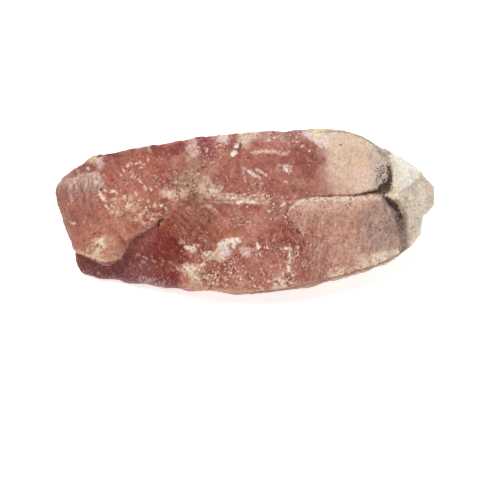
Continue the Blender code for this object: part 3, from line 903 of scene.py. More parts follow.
# A dark band just under the lip is its painted shadow.
line((96, 40, 38), 0.6, 1.4, 0.8, LIP[8:], within=hollow, taper=False)
area((122, 50, 40), 0.85, 1.6, [(-21.5, -5), (-16.5, -4), (-14.8, -8), (-15.4, -13), (-16, -17.6),
     (-22, -16), (-22.5, -10)])
for start, end in (((-26.2, -10.4), (-25.2, -10.7)), ((-24.4, -11), (-23.2, -11.4)),
                   ((-24.8, -12), (-23.8, -12.6)), ((-22.4, -12), (-21.4, -12.4)),
                   ((-25.4, -13), (-24.6, -13.2)), ((-19.8, -11.7), (-19.1, -12.1)),
                   ((-34.9, -12.9), (-34.4, -13.2)), ((-35.2, -14.6), (-34.7, -14.9)),
                   ((-31.6, -15), (-31, -15.3))):
    line((204, 158, 148), 0.85, 0.45, 0.25, [start, end], -0.5, -0.1, fine)
lay((196, 140, 128), 0.7 * hollow * above(grit, 0.10 * rise(-9, -15, up)))
lay((72, 34, 34), 0.5 * hollow * above(grit_shade, 0.14))
area(MAUVE, 0.8, 0.5, [(-26.2, -15.2), (-22.5, -15.4), (-19.3, -16.6), (-19.6, -18.4), (-25, -17.4)], -0.4,
     0.3, 2 * fibre_b + small)
# The crack at the hollow's corner is painted near black, as the deep shade under the overhang.
lay(CHARCOAL, 0.8 * crack)
tell("hollow")

# %% [markdown]
# ## The upper panel
#
# Above the seam the red is broken by crumbs of white calcite. Towards the rim there are mauve and
# maroon blocks, each a separate crystal.

# %% Blocks under the rim
area((128, 66, 62), 0.85, 0.9, [(-22.8, 15.4), (-18.6, 16.8), (-14.3, 17.6), (-14.5, 14), (-18.6, 12.6),
     (-21.4, 12.8)], -0.5, 0.1, mottle + 0.5 * small)
line(PINK_WHITE, 0.8, 0.8, 0.4, [(-23.2, 15), (-22.6, 14)])
area((196, 150, 142), 0.8, 0.8, [(-13.8, 17.4), (-11.4, 17.8), (-11, 14.5), (-11.6, 11.3), (-14, 11.3)],
     -0.3, 0.1)
area((140, 78, 80), 0.8, 0.8, [(-11, 17.4), (-8, 18), (-7.6, 13.4), (-11, 12.8)])
area((206, 172, 162), 0.85, 0.7, [(-8.4, 18.4), (-4, 19), (-4.6, 16.1), (-6.6, 16.2)], -0.7, 0)
area((196, 164, 146), 0.95, 0.6, [(-2.8, 19.4), (0, 19.9), (3.8, 20), (3.8, 17.8), (2.4, 16.4), (0.4, 14.9),
     (-1.8, 16.8)], -1.3, -0.5, small)
throw((216, 184, 178), 0.85, [(-13.8, 17.6), (-11, 17.8), (-11, 13), (-14, 13)], 16, 73, length=(1, 2.6),
      width=0.3, lean=(72, 100))
area((214, 190, 170), 0.7, 0.5, [(-0.4, 17.8), (1.4, 17.8), (1.2, 16.2), (0.2, 16)])
area(WHITE, 1, 0.25, [(-2.6, 15.8), (-1.9, 16.2), (-1.5, 15), (-1.9, 14.5)])
area(WHITE, 1, 0.25, [(-3.6, 13.4), (-2.9, 14.4), (-2.2, 14.1), (-1.7, 13.3), (-2.8, 13)])
# A dark line right of these white chips is their painted shadow.
line(DARK_BROWN, 0.9, 0.4, 0.25, [(-1.4, 16.3), (-1.1, 15.2), (-2.4, 14.6)])
area((196, 168, 162), 0.85, 1, [(4.4, 20.6), (12.4, 20.8), (12.2, 16.8), (5.4, 15.8)], -0.5, 0)
area(DEEP_RED, 0.5, 0.6, [(3.6, 16.8), (6, 17), (6, 15.4), (3.6, 15.2)])
tell("blocks")

# %% Streaks and crumbs above the seam
area((160, 92, 82), 0.6, 1.5, [(-6, 12.5), (12, 14.5), (12.5, 4.5), (-5, 4)])
line((200, 156, 142), 0.75, 0.9, 0.4, [(1.5, 13.7), (4, 14.2), (6, 14.1), (8, 13.7), (9.8, 13.2)], -0.6, 0)
line(PINK_WHITE, 0.95, 0.6, 0.25, [(-0.9, 10.4), (0.3, 9.7), (1.3, 9), (2.2, 8.2), (3.6, 7.6)])
line(WHITE, 0.9, 0.35, 0.2, [(0.2, 9.8), (1, 9), (1.8, 8.5)])
line(PINK_WHITE, 0.9, 0.45, 0.2, [(2.4, 9.9), (3.8, 9.2), (5, 8.3)])
line((96, 48, 44), 0.7, 0.4, 0.2, [(1.9, 9.6), (2.6, 8.9), (3.8, 8.3)])
line(PINK_WHITE, 0.8, 0.25, 0.2, [(-0.5, 10), (-0.4, 8), (0.2, 6.6)])
throw(PINK_WHITE, 0.8, [(1.2, 7.4), (4.2, 7.2), (4.6, 4.4), (1.8, 4.8)], 9, 31, width=0.22, lean=(100, 150))
throw(WHITE, 1, [(9, 10.8), (10.8, 10.6), (10.6, 8.8), (9.2, 8.8)], 9, 32, length=(0.3, 0.9), width=0.35)
line(PINK_WHITE, 1, 0.35, 0.2, [(7.9, 11), (8.3, 10.8)])
line(PINK_WHITE, 1, 0.35, 0.2, [(9.2, 6.9), (10.1, 6.5)])
area((138, 74, 64), 0.8, 1, [(11, 17.4), (18.3, 15.2), (18.8, 12.5), (19.6, 9), (13, 8)])
area((166, 112, 96), 0.75, 1.2, [(11, 8.5), (19.8, 8.5), (20.4, 4.2), (9, 4.4)])
area((176, 134, 122), 0.6, 0.7, [(18.2, 13.6), (20.2, 13.9), (20.4, 9), (18.8, 9.3)])
area((156, 122, 98), 0.75, 1.2, [(-17.4, 9.8), (-13, 12), (-9, 11.6), (-7.4, 8.6), (-7, 4.6), (-17, 4.4)],
     -0.7, 0.1, small_b + middling)
area((180, 152, 124), 0.7, 1, [(-16.6, 9.4), (-13, 9.8), (-12.6, 5.4), (-16.4, 5.2)], -0.2, 0.2, speckle_b)
area((92, 62, 46), 0.75, 1, [(-17, 10), (-9, 10.6), (-8, 3), (-17, 3)], within=above(gravel_shade, 0.2))
area((200, 166, 142), 0.85, 0.9, [(-11.6, 5), (-10.6, 8.6), (-8.8, 8.8), (-7.6, 6.4), (-5.6, 5.4),
     (-6, 3.6), (-11, 3.4)])
area(CREAM, 0.9, 0.6, [(-10.9, 5.4), (-9.6, 5.6), (-8, 5.8), (-6.4, 5.2), (-6.4, 4), (-10, 3.7)],
     -0.6, -0.1)
line(WHITE, 0.8, 0.6, 0.4, [(-8.2, 4.9), (-7.2, 4.9), (-6.6, 4.5)])
area((212, 182, 154), 0.9, 0.6, [(-20.4, 3), (-20, 5.2), (-16.5, 5), (-13.5, 5.6), (-13, 3.4), (-17, 2.4)],
     -0.5, 0)
line(PINK_WHITE, 0.8, 0.8, 0.4, [(-19.6, 4.4), (-18.2, 4), (-17.2, 3.6)], -0.4, 0, fine_b)
line(PINK_WHITE, 0.8, 0.7, 0.35, [(-15.4, 4.9), (-14, 4.6)])
area(OLIVE, 0.75, 0.9, [(-14.4, 1.2), (-14, 3.6), (-10.4, 4), (-10.2, 1.2)], -0.4, 0.1, speckle_b)
tell("upper panel")

# %% [markdown]
# ## The seam and the crushed ridge
#
# A fault crosses the whole face. On its left it is a beige band, and to the right the rock was ground
# to a bright line of white crumbs, whitest where a painted highlight falls on the ridge, with a thin
# dark crack above it that is painted dark as the shade inside it.

# %% Seam
area((182, 134, 114), 0.6, 1.1, [(-12, 1.8), (-11, 3.8), (-2, 3.9), (4, 3.6), (12.5, 3.8), (12.5, 2.2),
     (3.5, 1.3), (-2, 1.5), (-8, 1.6)], -0.9, 0, small_b)
area((218, 190, 170), 0.6, 0.7, [(-7, 3.4), (-4, 3.8), (1, 3.4), (4.6, 3.2), (4.6, 1.9), (-2, 1.9),
     (-7, 2.4)], -0.2, 0.15, small_b + fine)
throw((232, 206, 188), 0.9, [(-8, 4.1), (5, 3.8), (5, 1.6), (-8, 1.9)], 46, 74, length=(0.6, 2.4),
      width=0.26, lean=(-28, 14))
throw((110, 68, 52), 0.7, [(-10, 4.2), (9, 3.8), (9, 1), (-10, 1.4)], 40, 76, length=(0.5, 2), width=0.2,
      lean=(-28, 14))
line(WHITE, 1, 0.6, 0.25, [(-2.2, 2.1), (2.6, 1.95)])
throw(CREAM, 0.9, [(0, 3.6), (4.6, 3.6), (4.4, 1.6), (0.4, 1.4)], 18, 41, width=0.24, lean=(-30, 60))
for start, end in (((-4.6, 3.3), (-4, 3.1)), ((-3.3, 3.2), (-2.5, 3.1)), ((5.1, 2.5), (5.7, 2.3))):
    line(WHITE, 0.9, 0.35, 0.2, [start, end])
line((218, 178, 164), 0.9, 0.7, 0.3, [(-11.6, 0.3), (-9.8, 0.9), (-8, 1.2)])
line((96, 56, 42), 0.6, 0.35, 0.25, [(-12, 1.5), (-7.6, 1.6), (-4, 1.4)])
line(DEEP_RED, 0.6, 0.5, 0.35, [(-7.5, 1.5), (-2, 1.1), (3, 0.9)])
tell("seam")

# %% [markdown]
# ## Peach panel, chip and the pale end
#
# The right third is purer calcite: a peach window, a white cap that stands proud of it, and a beige
# tip. The change from red to peach is soft, because it is a change in what the crystal holds, and not
# an edge. The chip beside it is a real edge, so its outline stays crisp.

# %% Peach panel and the chipped corner
area((184, 138, 128), 0.75, 1.3, [(17, 14.4), (20.4, 14.8), (20.6, 4.4), (18, 4.4)])
lay(PEACH_PINK, peach)
area((218, 180, 152), 0.6, 1.6, [(24.5, 13), (28.6, 13.5), (28.8, 9), (26, 7.5), (24, 10)])
area((228, 200, 184), 0.7, 1.2, [(25.5, 9.4), (29.6, 9.4), (29.8, 4.4), (24, 4.2)])
area((200, 156, 134), 0.5, 1, [(19.6, 9), (22.6, 8), (24.5, 4.6), (20, 3.8)])
area((196, 160, 146), 0.8, 0.4, [(28.4, 15.4), (29.2, 13.2), (29.8, 9.2), (32.5, 9.2), (34.2, 12),
     (33.4, 15.6)], -0.9, 0, fibre + small)
area((220, 202, 168), 0.7, 0.7, [(27, 17.8), (29.4, 14.2), (31.6, 15.8), (31.2, 17.4)])
line((222, 204, 172), 0.6, 1.3, 0.6, [(20.4, 19.6), (24, 19), (26.6, 18.2), (29.6, 16.8)])
lay((204, 172, 148), 0.5 * peach * rise(0, 0.5, middling + 0.3 * small))
line(CHARCOAL, 0.85, 0.45, 0.2, [(22.5, 15.6), (22.9, 15.5)], frayed=False)
line(WHITE, 0.8, 0.4, 0.2, [(21.4, 18.7), (21.5, 18)])
area(MAUVE, 0.7, 0.6, [(12, 19.8), (14.6, 19.8), (15, 17.2), (13, 16.9)])
lay(PINK_WHITE, 0.95 * chip)
area((226, 206, 164), 0.85, 0.6, [(14.6, 18.6), (18.9, 17.6), (18.6, 20.6), (14, 20.6)], -1, -0.2, small)
area((212, 184, 176), 0.7, 0.5, [(15.4, 17.4), (18.6, 16.6), (19.6, 15.4), (17.8, 15.7)])
area((150, 92, 88), 0.6, 0.9, [(15, 15.4), (18.8, 14.9), (19.4, 11), (17.4, 10.5)])
for x, y in ((12.4, 16.6), (14.8, 14.4)):
    line(WHITE, 1, 0.5, 0.25, [(x, y), (x + 0.5, y - 0.3)])
tell("peach panel")

# %% Cap and tip
def grainy(share, second=False):
    """Breaks a soft share up into single grains, so that this share of them is covered."""
    grains, field = (dust_b, fine_b) if second else (dust, fine)
    threshold = 0.62 * grains + 0.38 * np.clip(0.5 + 0.9 * field, 0, 1)
    return rise(-0.04, 0.10, share - threshold)


TIP = [(36.2, 3.9), (37.2, 4.5), (38, 5.1), (39, 5.7), (40, 6.6), (41, 7.6), (41.6, 8.6), (44, 10), (47, 6),
       (47, -1), (43, -2.6), (41, -7), (38.5, -11), (36.4, -10.6), (38.2, -7), (37.8, -3), (37, -0.8)]
tip = patch(TIP, 0.35)
line(TIP_BEIGE, 1, 2, 0.5, [(36.2, 4.2), (38, 5.1), (40, 6.6), (41.2, 7.9), (42.4, 9.6)])
lay(CAP_WHITE, cap)
area((222, 204, 172), 0.6, 0.7, [(34.6, 12), (36.4, 11.6), (36.8, 9), (35, 8.4)], within=cap)
area((226, 208, 168), 0.6, 0.6, [(34.6, 7.4), (37, 6.6), (36.4, 4.8), (34.8, 4.6)], within=cap)
lay((212, 204, 188), 0.5 * cap * rise(0, 0.5, middling_b))
lay(TIP_BEIGE, tip)
lay((224, 214, 196), 0.6 * tip * rise(40, 42, across + middling) * rise(-0.2, 0.3, middling_b))
area((198, 178, 162), 0.6, 0.7, [(41, 8.6), (43.6, 8.2), (44.8, 4), (44.4, 0), (43, 0), (43.2, 4)])
area((204, 188, 160), 0.5, 1, [(37, 3), (40.4, 2), (40.6, -6), (38.4, -8), (37.6, -2)])
# A darker line along the crease between cap and tip is painted shade in the crease.
line((168, 152, 130), 0.55, 0.3, 0.3, [(36.6, 4.1), (38, 4.8), (39.2, 5.4), (40.2, 6.3), (41.4, 8)])
shaded = patch([(36.6, 3), (38.4, 2.6), (39.4, -4), (38.6, -9), (37.4, -8)], 1.2)
lay((132, 110, 88), 0.7 * grainy(0.55 * shaded))
tell("cap and tip")

# %% [markdown]
# ## The lower panel
#
# Below the seam a plate of pinker stone overlaps the red, and ends in a crack. A patch of white, half
# crushed calcite lies in the middle, and crumbs of cream run along the lower rim.

# %% Plate and smoky end
PLATE = [(10.2, 0.3), (12, 1.8), (14, 2.8), (20, 3), (28, 3.2), (33, 3.4), (36.5, 1.4), (38.4, -3),
         (38.6, -10.6), (34, -13.4), (24, -17.4), (12, -19.6), (12.5, -12), (14.2, -8.4), (12.6, -5),
         (10.8, -3)]
plate = patch(PLATE, 1.5)
lay((192, 144, 126), 0.9 * plate)
lay((196, 154, 134), 0.7 * plate * rise(22, 30, across - 0.6 * up + 2 * middling))
lay((184, 128, 110), 0.5 * plate * rise(0, 0.4, middling) * (1 - smoky))
area((212, 180, 156), 0.75, 0.9, [(11, 0.8), (14, 2.9), (31, 3.1), (29, 0.2), (20, -0.4)])
area((164, 98, 84), 0.75, 1.4, [(12, -4.5), (17, -4), (21, -8), (23, -13.5), (18, -16), (11.5, -17.4),
     (12.6, -11)], -0.7, 0.2, middling + small)
lay(SMOKE, 0.85 * smoky * rise(24.5, 31, across + middling))
lay((150, 118, 108), 0.6 * smoky * rise(-2, 1, up) * rise(25, 31, across))
area((190, 160, 150), 0.5, 1.4, [(28.6, -4), (33, -3), (34, -7.6), (29, -8)], -0.3, 0.4, small_b + middling)
lay((116, 88, 74), 0.65 * smoky * above(grit_shade, 0.16 + 0.2 * rise(31, 36.5, across)))
lay((206, 178, 164), 0.6 * smoky * above(grit, 0.16))
lay((214, 176, 156), 0.55 * plate * above(grit, 0.14) * (1 - smoky))
lay((138, 88, 74), 0.6 * plate * above(grit_shade, 0.12) * (1 - smoky))
lay((150, 100, 86), 0.5 * plate * above(gravel_shade, 0.12, 0.1) * (1 - smoky))
tell("plate")

# %% Stains on the plate
area((150, 104, 88), 0.6, 1.2, [(28, -6.6), (30.6, -6.2), (30.4, -10.4), (27.4, -10.4)], -0.5, 0.1,
     small + middling)
area((150, 84, 74), 0.5, 1.6, [(12.5, -8), (18, -7), (20, -12), (18.6, -17), (12, -18)])
for x, y in ((20.8, -9), (22.6, -8.4), (25.4, -8.8), (17.4, -4.2)):
    line((214, 178, 158), 0.5, 0.7, 0.5, [(x, y), (x + 0.3, y - 3.4)], -0.4, 0.1, fine)
lay((124, 92, 80), 0.5 * smoky * rise(0, 0.4, blotch))
lay((204, 168, 156), 0.45 * smoky * rise(0, 0.4, -blotch))
lay((148, 96, 84), 0.45 * plate * rise(0.05, 0.5, drips) * (1 - rise(-4, 0, up)))
lay((220, 184, 166), 0.35 * plate * rise(0.1, 0.5, -drips) * (1 - smoky))
tell("stains")

# %% The crushed ridge
line(PINK_WHITE, 0.9, 0.5, 0.25, [(10.2, 0.2), (11.8, 1.2), (13.8, 2.6)])
# The ridge's crumbs are pale calcite; the whitest of them are painted highlight where the ridge faces up.
lay((226, 204, 180), 0.95 * ridge * rise(-0.8, -0.2, fine + 0.4 * small))
lay(WHITE, 0.9 * ridge * rise(0, 0.4, fine_b))
line(WHITE, 1, 0.8, 0.3, [(31.9, 2.9), (32.6, 2.9)])
# Along the crack above the ridge the colour is painted dark brown and charcoal, as the shade inside the
# crack.
lay((116, 78, 60), 0.8 * seam_line * rise(14, 17, across) * rise(-0.9, -0.2, speckle))
lay(DARK_BROWN, 0.85 * seam_line * rise(24, 29, across))
line(CHARCOAL, 0.9, 0.8, 0.35, [(28, 4), (30, 4.5), (32.4, 4.8)])
area((110, 72, 56), 0.6, 0.3, CRUSHED_BAND, within=above(grit_shade, 0.14))
tell("ridge")

# %% Skirt, rims and the fissure
area((228, 208, 184), 0.95, 0.6, [(29.6, -10.6), (34, -9.8), (37.4, -8.8), (37.8, -11), (33, -13.4),
     (30, -14.4)], -0.8, 0.1, fibre + small)
area(CREAM, 0.8, 0.7, [(20, -13.6), (24, -13.2), (24.4, -15.8), (20, -16.6)], -0.2, 0.2)
area(CREAM, 0.8, 0.6, [(25.6, -12), (29.2, -11.4), (29.2, -13.8), (25.8, -15)], -0.2, 0.2, fine_b)
throw(DARK_BROWN, 0.7, [(13, -7.6), (17.4, -7.6), (17.4, -11), (13, -11)], 14, 51, length=(0.2, 0.6))
area((214, 190, 184), 0.6, 0.7, [(26.4, -10.6), (29.2, -10.2), (29, -12.4), (26, -12.8)], -0.5, 0.1, small)
lower_rim = [(2, -19.5), (9, -18.8), (16, -17.3), (24.9, -15), (30.4, -13.35), (34.4, -11.7), (36.8, -10.1),
             (39, -8.2)]
upper_rim = [(13, 18.9), (18, 18.95), (21.3, 18.85), (25.3, 18.5), (28.4, 17.1), (30.8, 15.6), (33, 14.4)]
line((120, 104, 92), 0.75, 0.35, 0.3, upper_rim, frayed=False)
for x, y in ((31.8, -4.7), (29.3, -3.8), (28.4, -3)):
    line(CHARCOAL, 0.8, 0.45, 0.2, [(x, y), (x + 0.3, y - 0.2)])
# The fissure and the band beside it are painted dark, as the shadow of the small step it makes.
lay(DARK_BROWN, 0.9 * fissure * rise(-0.25, 0.15, speckle))
line((104, 50, 42), 0.6, 1.2, 0.5, [(9.6, 0.2), (10.2, -2.4), (12.4, -5.4), (13.6, -8)],
     within=above(gravel_shade, 0.3))
tell("rims")

# %% Red left of the plate
line(DEEP_RED, 0.7, 1.2, 0.5, [(-6.7, 1.3), (-5.9, 0.3)])
area(GREY_GREEN, 0.6, 0.6, [(-12.8, -1.6), (-12.4, 0.1), (-8.8, 0.2), (-8.8, -1.6)], -0.3, 0.2, fine)
area(GREY_GREEN, 0.6, 0.7, [(4.8, -1.9), (5.2, 0.9), (9.8, 0.9), (9.6, -1.9)], -0.3, 0.2, fine_b)
for start, end in (((5.2, -0.1), (5.8, -0.3)), ((8.5, 1.3), (9, 1.1)), ((9.1, 1.8), (9.5, 1.5))):
    line(WHITE, 1, 0.5, 0.25, [start, end])
area(DARK_BROWN, 0.6, 0.6, [(-10.6, -1.8), (-8.4, -1.9), (-8.6, -3.2), (-10.4, -3.2)])
area(ORANGE_BROWN, 0.6, 1, [(-6.4, -4), (-0.6, -4), (-0.8, -6.2), (-6, -6.4)])
area((138, 60, 46), 0.9, 1.4, [(-20.4, -2.6), (-16, -0.6), (-12, 0.4), (-8.4, -1.4), (-7, -5), (-9.6, -8),
     (-13.4, -8), (-14.6, -12), (-18.4, -13), (-20, -8)])
area((108, 34, 24), 0.9, 1.2, [(-19, -5.6), (-15, -5.8), (-14.6, -12.4), (-18.4, -13)])
area((112, 74, 54), 0.6, 1, [(-12.8, 1.2), (-7.8, 1.4), (-7, -1.6), (-9, -3.6), (-12.6, -2.8)], -0.3, 0.2,
     strokes + small)
FEATHERED = [(-16, 0.6), (-12, 0.6), (-6, -6), (-8, -9), (-16, -6)]
throw((78, 32, 26), 0.75, FEATHERED, 34, 75, length=(1.2, 4.5), width=0.2, lean=(-56, -38))
throw((196, 138, 122), 0.5, FEATHERED, 22, 77, length=(0.8, 3), width=0.16, lean=(-56, -38))
area((142, 72, 62), 0.6, 1.2, [(8.4, -2.8), (11, -3.4), (14, -8.4), (12.6, -10.6), (9.4, -7.4)])
area((190, 128, 116), 0.6, 1.4, [(-4, -0.4), (4.4, -0.2), (4.6, -4.4), (-2, -4.8)])
area((178, 118, 98), 0.6, 1.2, [(-4.5, -14.6), (4.5, -14.6), (5, -19.6), (-5, -19.6)])
tell("lower red")

# %% The white patch and its neighbours
lay(CREAM, 0.9 * white_patch * rise(-0.9, -0.2, speckle))
lay(WHITE, 0.9 * white_patch * rise(-0.2, 0.3, fine + small_b) * rise(-12, -8.5, up))
area(LILAC, 0.9, 0.5, [(-5.9, -8.8), (-4.4, -8.8), (-4.5, -11.6), (-5.9, -11.6)])
area(WHITE, 1, 0.4, [(-4, -6.8), (-1.5, -6.9), (-2, -7.9), (-3.8, -7.9)])
line((150, 92, 110), 0.7, 0.8, 0.35, [(-3.3, -9), (-2.8, -9.5)])
lay(DEEP_RED, 0.5 * white_patch * rise(0.2, 0.5, small))
area(CREAM, 0.85, 0.4, [(-13.8, -9.5), (-12, -8.5), (-11.2, -8.6), (-11.2, -9.9), (-13, -10.2)])
line(PINK_WHITE, 0.8, 0.4, 0.25, [(-15.5, -7), (-14.4, -7.8)])
area(MAUVE, 0.7, 0.5, [(-0.6, -8.8), (1.3, -9), (1.1, -11), (-0.6, -10.8)])
tell("white patch")

# %% Cream crumbs along the lower rim
area((194, 146, 124), 0.8, 1.3, CREAM_DIAGONAL)
lay(CREAM, 0.95 * cream_diagonal * above(ranked(gravel + 0.6 * small), 0.55, 0.06))
for start, end, wide in (((-14.6, -12.7), (-11.6, -13.9), 0.7), ((-13.8, -13.7), (-12.4, -15.4), 0.8),
                         ((-15.6, -13), (-14, -14.6), 0.5), ((-11.4, -13.2), (-9.8, -12.8), 0.5)):
    line((234, 212, 184), 0.9, wide, 0.3, [start, end], -0.5, -0.1, fine)
area((214, 184, 152), 0.4, 1, [(-12.6, -15.6), (-9.8, -15.4), (-9.6, -18.4), (-12.4, -18.6)])
area((84, 48, 36), 0.7, 1, CREAM_DIAGONAL, within=above(gravel_shade, 0.16))
throw(MAUVE, 0.7, [(10, -9.8), (11.4, -9.8), (11.4, -12.2), (10, -12.2)], 12, 52, lean=(60, 120))
line((206, 172, 148), 0.7, 0.7, 0.4, [(-1.2, -17), (1.4, -17.4), (3, -17.2)], -0.4, 0, fine)
area((222, 200, 176), 0.9, 0.6, [(6.6, -16.4), (9.8, -16.2), (9.4, -18.2), (6.8, -18.4)], -0.4, 0)
line((196, 146, 144), 0.8, 1, 0.5, [(9.4, -14.2), (8.6, -15.4), (7.8, -16.4)])
for start, end in (((2.9, -8.4), (3.4, -8.8)), ((12.1, -8.6), (12.6, -9)), ((10.2, -13.6), (10.7, -14)),
                   ((8.6, -14.8), (9.1, -15.2)), ((9, -9), (10.8, -9.2)), ((8.1, -17.2), (8.8, -17.4)),
                   ((5.2, -16.7), (5.8, -16.9)), ((3.2, -18.2), (3.8, -18.4))):
    line(WHITE, 0.9, 0.55, 0.25, [start, end])
tell("cream crumbs")

# %% [markdown]
# ## The black seam
#
# The black mineral grew as grains, so nothing about it is a line. It is laid as pepper: a share of the
# grains turns dark, nearly all of them at the core of the seam and fewer with every tenth of a
# millimetre away from it.

# %% Black seam
def seam_pepper(path, core, reach):
    """1 within the core of a path, and less and less out to its reach."""
    distance, _ = path_distance(path, across + 0.3 * small, up + 0.3 * small_b)
    return (1 - rise(core, reach, distance)) * front


area((206, 196, 182), 0.5, 0.6, [(30, 7), (33, 7), (33.4, 15.4), (30, 15.4)], -0.6, 0.1, fine_b)
lay((217, 204, 188), 0.3 * tip)
area((218, 202, 182), 0.4, 0.6, [(38.2, -0.5), (41.4, -0.5), (41.2, -7.4), (38.4, -8.4)])
lay((196, 168, 156), 0.24 * smoky * rise(-0.5, 0.3, speckle))
speckled = patch([(30.2, 5.4), (30.6, 10.6), (32.6, 12.4), (34.9, 11.8), (34.8, 5)], 0.9)
lay((186, 174, 160), 0.7 * speckled)
lay((140, 130, 118), 0.5 * speckled * above(ranked(fine + small_b), 0.4, 0.2))
area((158, 147, 134), 0.85, 0.7, [(30.4, 17), (33.8, 15.8), (35, 13.4), (34.2, 11.6), (31.8, 12.4)], -0.7,
     0, speckle_b)
inner_side = [(33, 2.7), (34.2, 1.4), (35.2, 0.3), (35.9, -1.2), (36.5, -3)]
area((214, 198, 170), 1, 0.4, [(33.2, 5.8), (35, 5.6), (36.4, 4.6), (36.8, 2.4), (33.4, 2.4)])
lay((132, 118, 110), 0.8 * seam_pepper(inner_side, 0.3, 1.3))
lay((150, 132, 108), 0.6 * seam_pepper([(35.6, 2.4), (36.8, 1.2), (37.6, -1), (37.9, -3)], 0.2, 1))
lay((128, 108, 94), 0.7 * seam_pepper(BLACK_SEAM_TAIL, 0.4, 1.7))
lay((84, 74, 66), 0.85 * seam_pepper(BLACK_SEAM_LOWER, 0.1, 1))
area((110, 72, 50), 0.8, 0.4, [(30, 3.9), (30.4, 4.9), (32, 5.6), (32.4, 4.2)])
pepper = 0.30 * speckled + 0.22 * patch([(31.6, 10.6), (34.6, 11.4), (34.6, 6), (31.4, 6.4)], 0.9)
for density, path, core, reach in (
        (0.6, BLACK_SEAM_UPPER, 0, 0.9), (0.95, BLACK_SEAM_LOWER, 0.2, 0.9),
        (0.34, BLACK_SEAM_TAIL, 0.2, 1.5), (0.2, inner_side, 0.2, 1.3),
        (0.6, [(30.6, 4.2), (32.6, 4.8)], 0.1, 0.6)):
    pepper = pepper + density * seam_pepper(path, core, reach)
pepper = np.clip(pepper + 0.9 * patch(BLACK_MASS, 0.9), 0, 1)
lay((92, 80, 70), 0.5 * pepper)
lay(CHARCOAL, 0.92 * grainy(pepper))
lay(PINK_WHITE, 0.85 * speckled * grainy(np.clip(0.42 - 0.5 * black_core, 0, 1), second=True))
cream_block = patch([(33.7, 3.5), (34.2, 3.9), (35.2, 3.7), (35.6, 4.1), (36.7, 4), (36.9, 3.2),
                    (36.7, 2.7), (35.4, 2.8), (34.2, 3)], 0.2)
lay((236, 222, 196), cream_block)
tell("black seam")

# %% [markdown]
# ## Peppering
#
# The last layer is what makes it read as broken stone: hundreds of pale crumbs and scratches, a few
# tenths of a millimetre each, thick in some places and thin in others, with dark specks beside them
# that are painted as their shadows.

# %% Pale and dark flecks
UPPER_RED = [(-33, 12.5), (-24, 14), (-12, 16.5), (0, 17), (12, 17), (20, 14), (20, 4.5), (4, 3.5),
             (-10, 6), (-20, 2), (-22, -1), (-30, -2), (-34, 3)]
LOWER_RED = [(-20, 1), (-10, 2), (10, 2), (11, -4), (14.5, -9), (13, -17.5), (0, -19.5), (-18, -18),
             (-17, -12), (-19, -6)]

PALE_CRUMB = (236, 206, 192)
ROSE_CRUMB = (204, 150, 132)
# The next colour is painted shadow, laid down and to the right of crumbs and grit.
CRUMB_SHADOW = (94, 44, 36)
on_red = np.clip(1 - 0.9 * hollow - peach - behind - 0.7 * (cap + tip) - smoky, 0, 1)
lay((150, 82, 68), 0.5 * rise(0.1, 0.5, mottle) * on_red * (1 - plate) * front)
area((176, 106, 84), 0.36, 1.2, [(-31, 4.8), (-22, 4.8), (-22, -2.8), (-31, -2.8)])
area((162, 92, 78), 0.32, 1.2, [(-34, 12.2), (-25, 12.6), (-25, 5.6), (-34, 5.6)])
bright = rise(-0.25, 0.45, small_b + 0.7 * mottle)
bright = np.clip(bright + 0.35 * (1 - rise(-14.5, -11, up)) * front, 0, 1)
lay(CRUMB_SHADOW, (0.25 + 0.35 * bright) * crumb_shade * on_red * (1 - 0.7 * plate))
lay(ROSE_CRUMB, (0.35 + 0.35 * bright) * crumbs * on_red * (1 - 0.6 * plate))
lay(PALE_CRUMB, 0.9 * bright * crumbs * on_red * above(gravel, 0.10 * crumb_share))
lay((246, 220, 204), (0.35 + 0.65 * bright) * chips * on_red * rise(0.5, 0.95, chip_value))
grit_share = 0.02 + 0.09 * np.clip(crumbly, 0, 1)
lay(CRUMB_SHADOW, 0.5 * above(grit_shade, grit_share) * on_red)
calm = patch([(-4, 14.6), (18, 14.6), (19, 5), (-3, 5)], 1.5)
streaky = on_red * front * (1 - 0.3 * plate) * (1 - 0.6 * striated) * (1 - 0.5 * lobe) * (1 - 0.4 * calm)
lay((104, 46, 38), 0.28 * streaky * rise(0.1, 0.55, strokes))
lay((208, 150, 128), 0.24 * streaky * rise(0.12, 0.6, -strokes))
lay(PALE_CRUMB, (0.35 + 0.5 * bright) * above(grit, grit_share) * on_red)
scratches = np.maximum(scattered(UPPER_RED, 46, 61, length=(0.5, 2), width=0.12, lean=(100, 140)),
                       scattered(LOWER_RED, 46, 62, length=(0.5, 2), width=0.12, lean=(100, 150)))
lay(PALE_CRUMB, 0.6 * scratches * rise(-0.4, 0, fine))
tell("flecks")

# %% Painted shade in the hollows, and worn ridges
WARM_SHADE = np.array([0.85, 1.02, 1.12])

hollow_shade = np.clip(0.75 * rise(0.04, 0.35, crease_depth) + 0.5 * rise(0.01, 0.07, pit_depth), 0, 1)
worn_pale = np.clip(0.6 * rise(0.08, 0.4, -crease_depth) + 0.4 * rise(0.01, 0.07, -pit_depth), 0, 1)
# Painted shade: the deeper a crease or pit, the darker and warmer its colour.
colour *= 1 - 0.45 * (hollow_shade * (1 - 0.5 * black_core))[:, None] * WARM_SHADE
lay((226, 192, 172), 0.5 * worn_pale * (1 - 0.7 * hollow) * (1 - black_core))
colour *= 1 + 0.3 * ((dust_b - 0.5) * np.clip(1 - 0.6 * smooth_glass, 0.3, 1))[:, None]
tell("shade_and_wear")

# %% Single crumbs
def moved(path, right, upwards):
    """The same path, moved over the sheet by some millimetres."""
    return [(x + right, y + upwards) for x, y in path]


granules = patch([(-9.8, -15.6), (-3.6, -15.8), (-3.8, -18.2), (-9.8, -18)], 0.4)
lay(CREAM, 0.9 * granules * (1 - rise(0.25, 0.5, crumb)) * (crumb_value > 0.35))
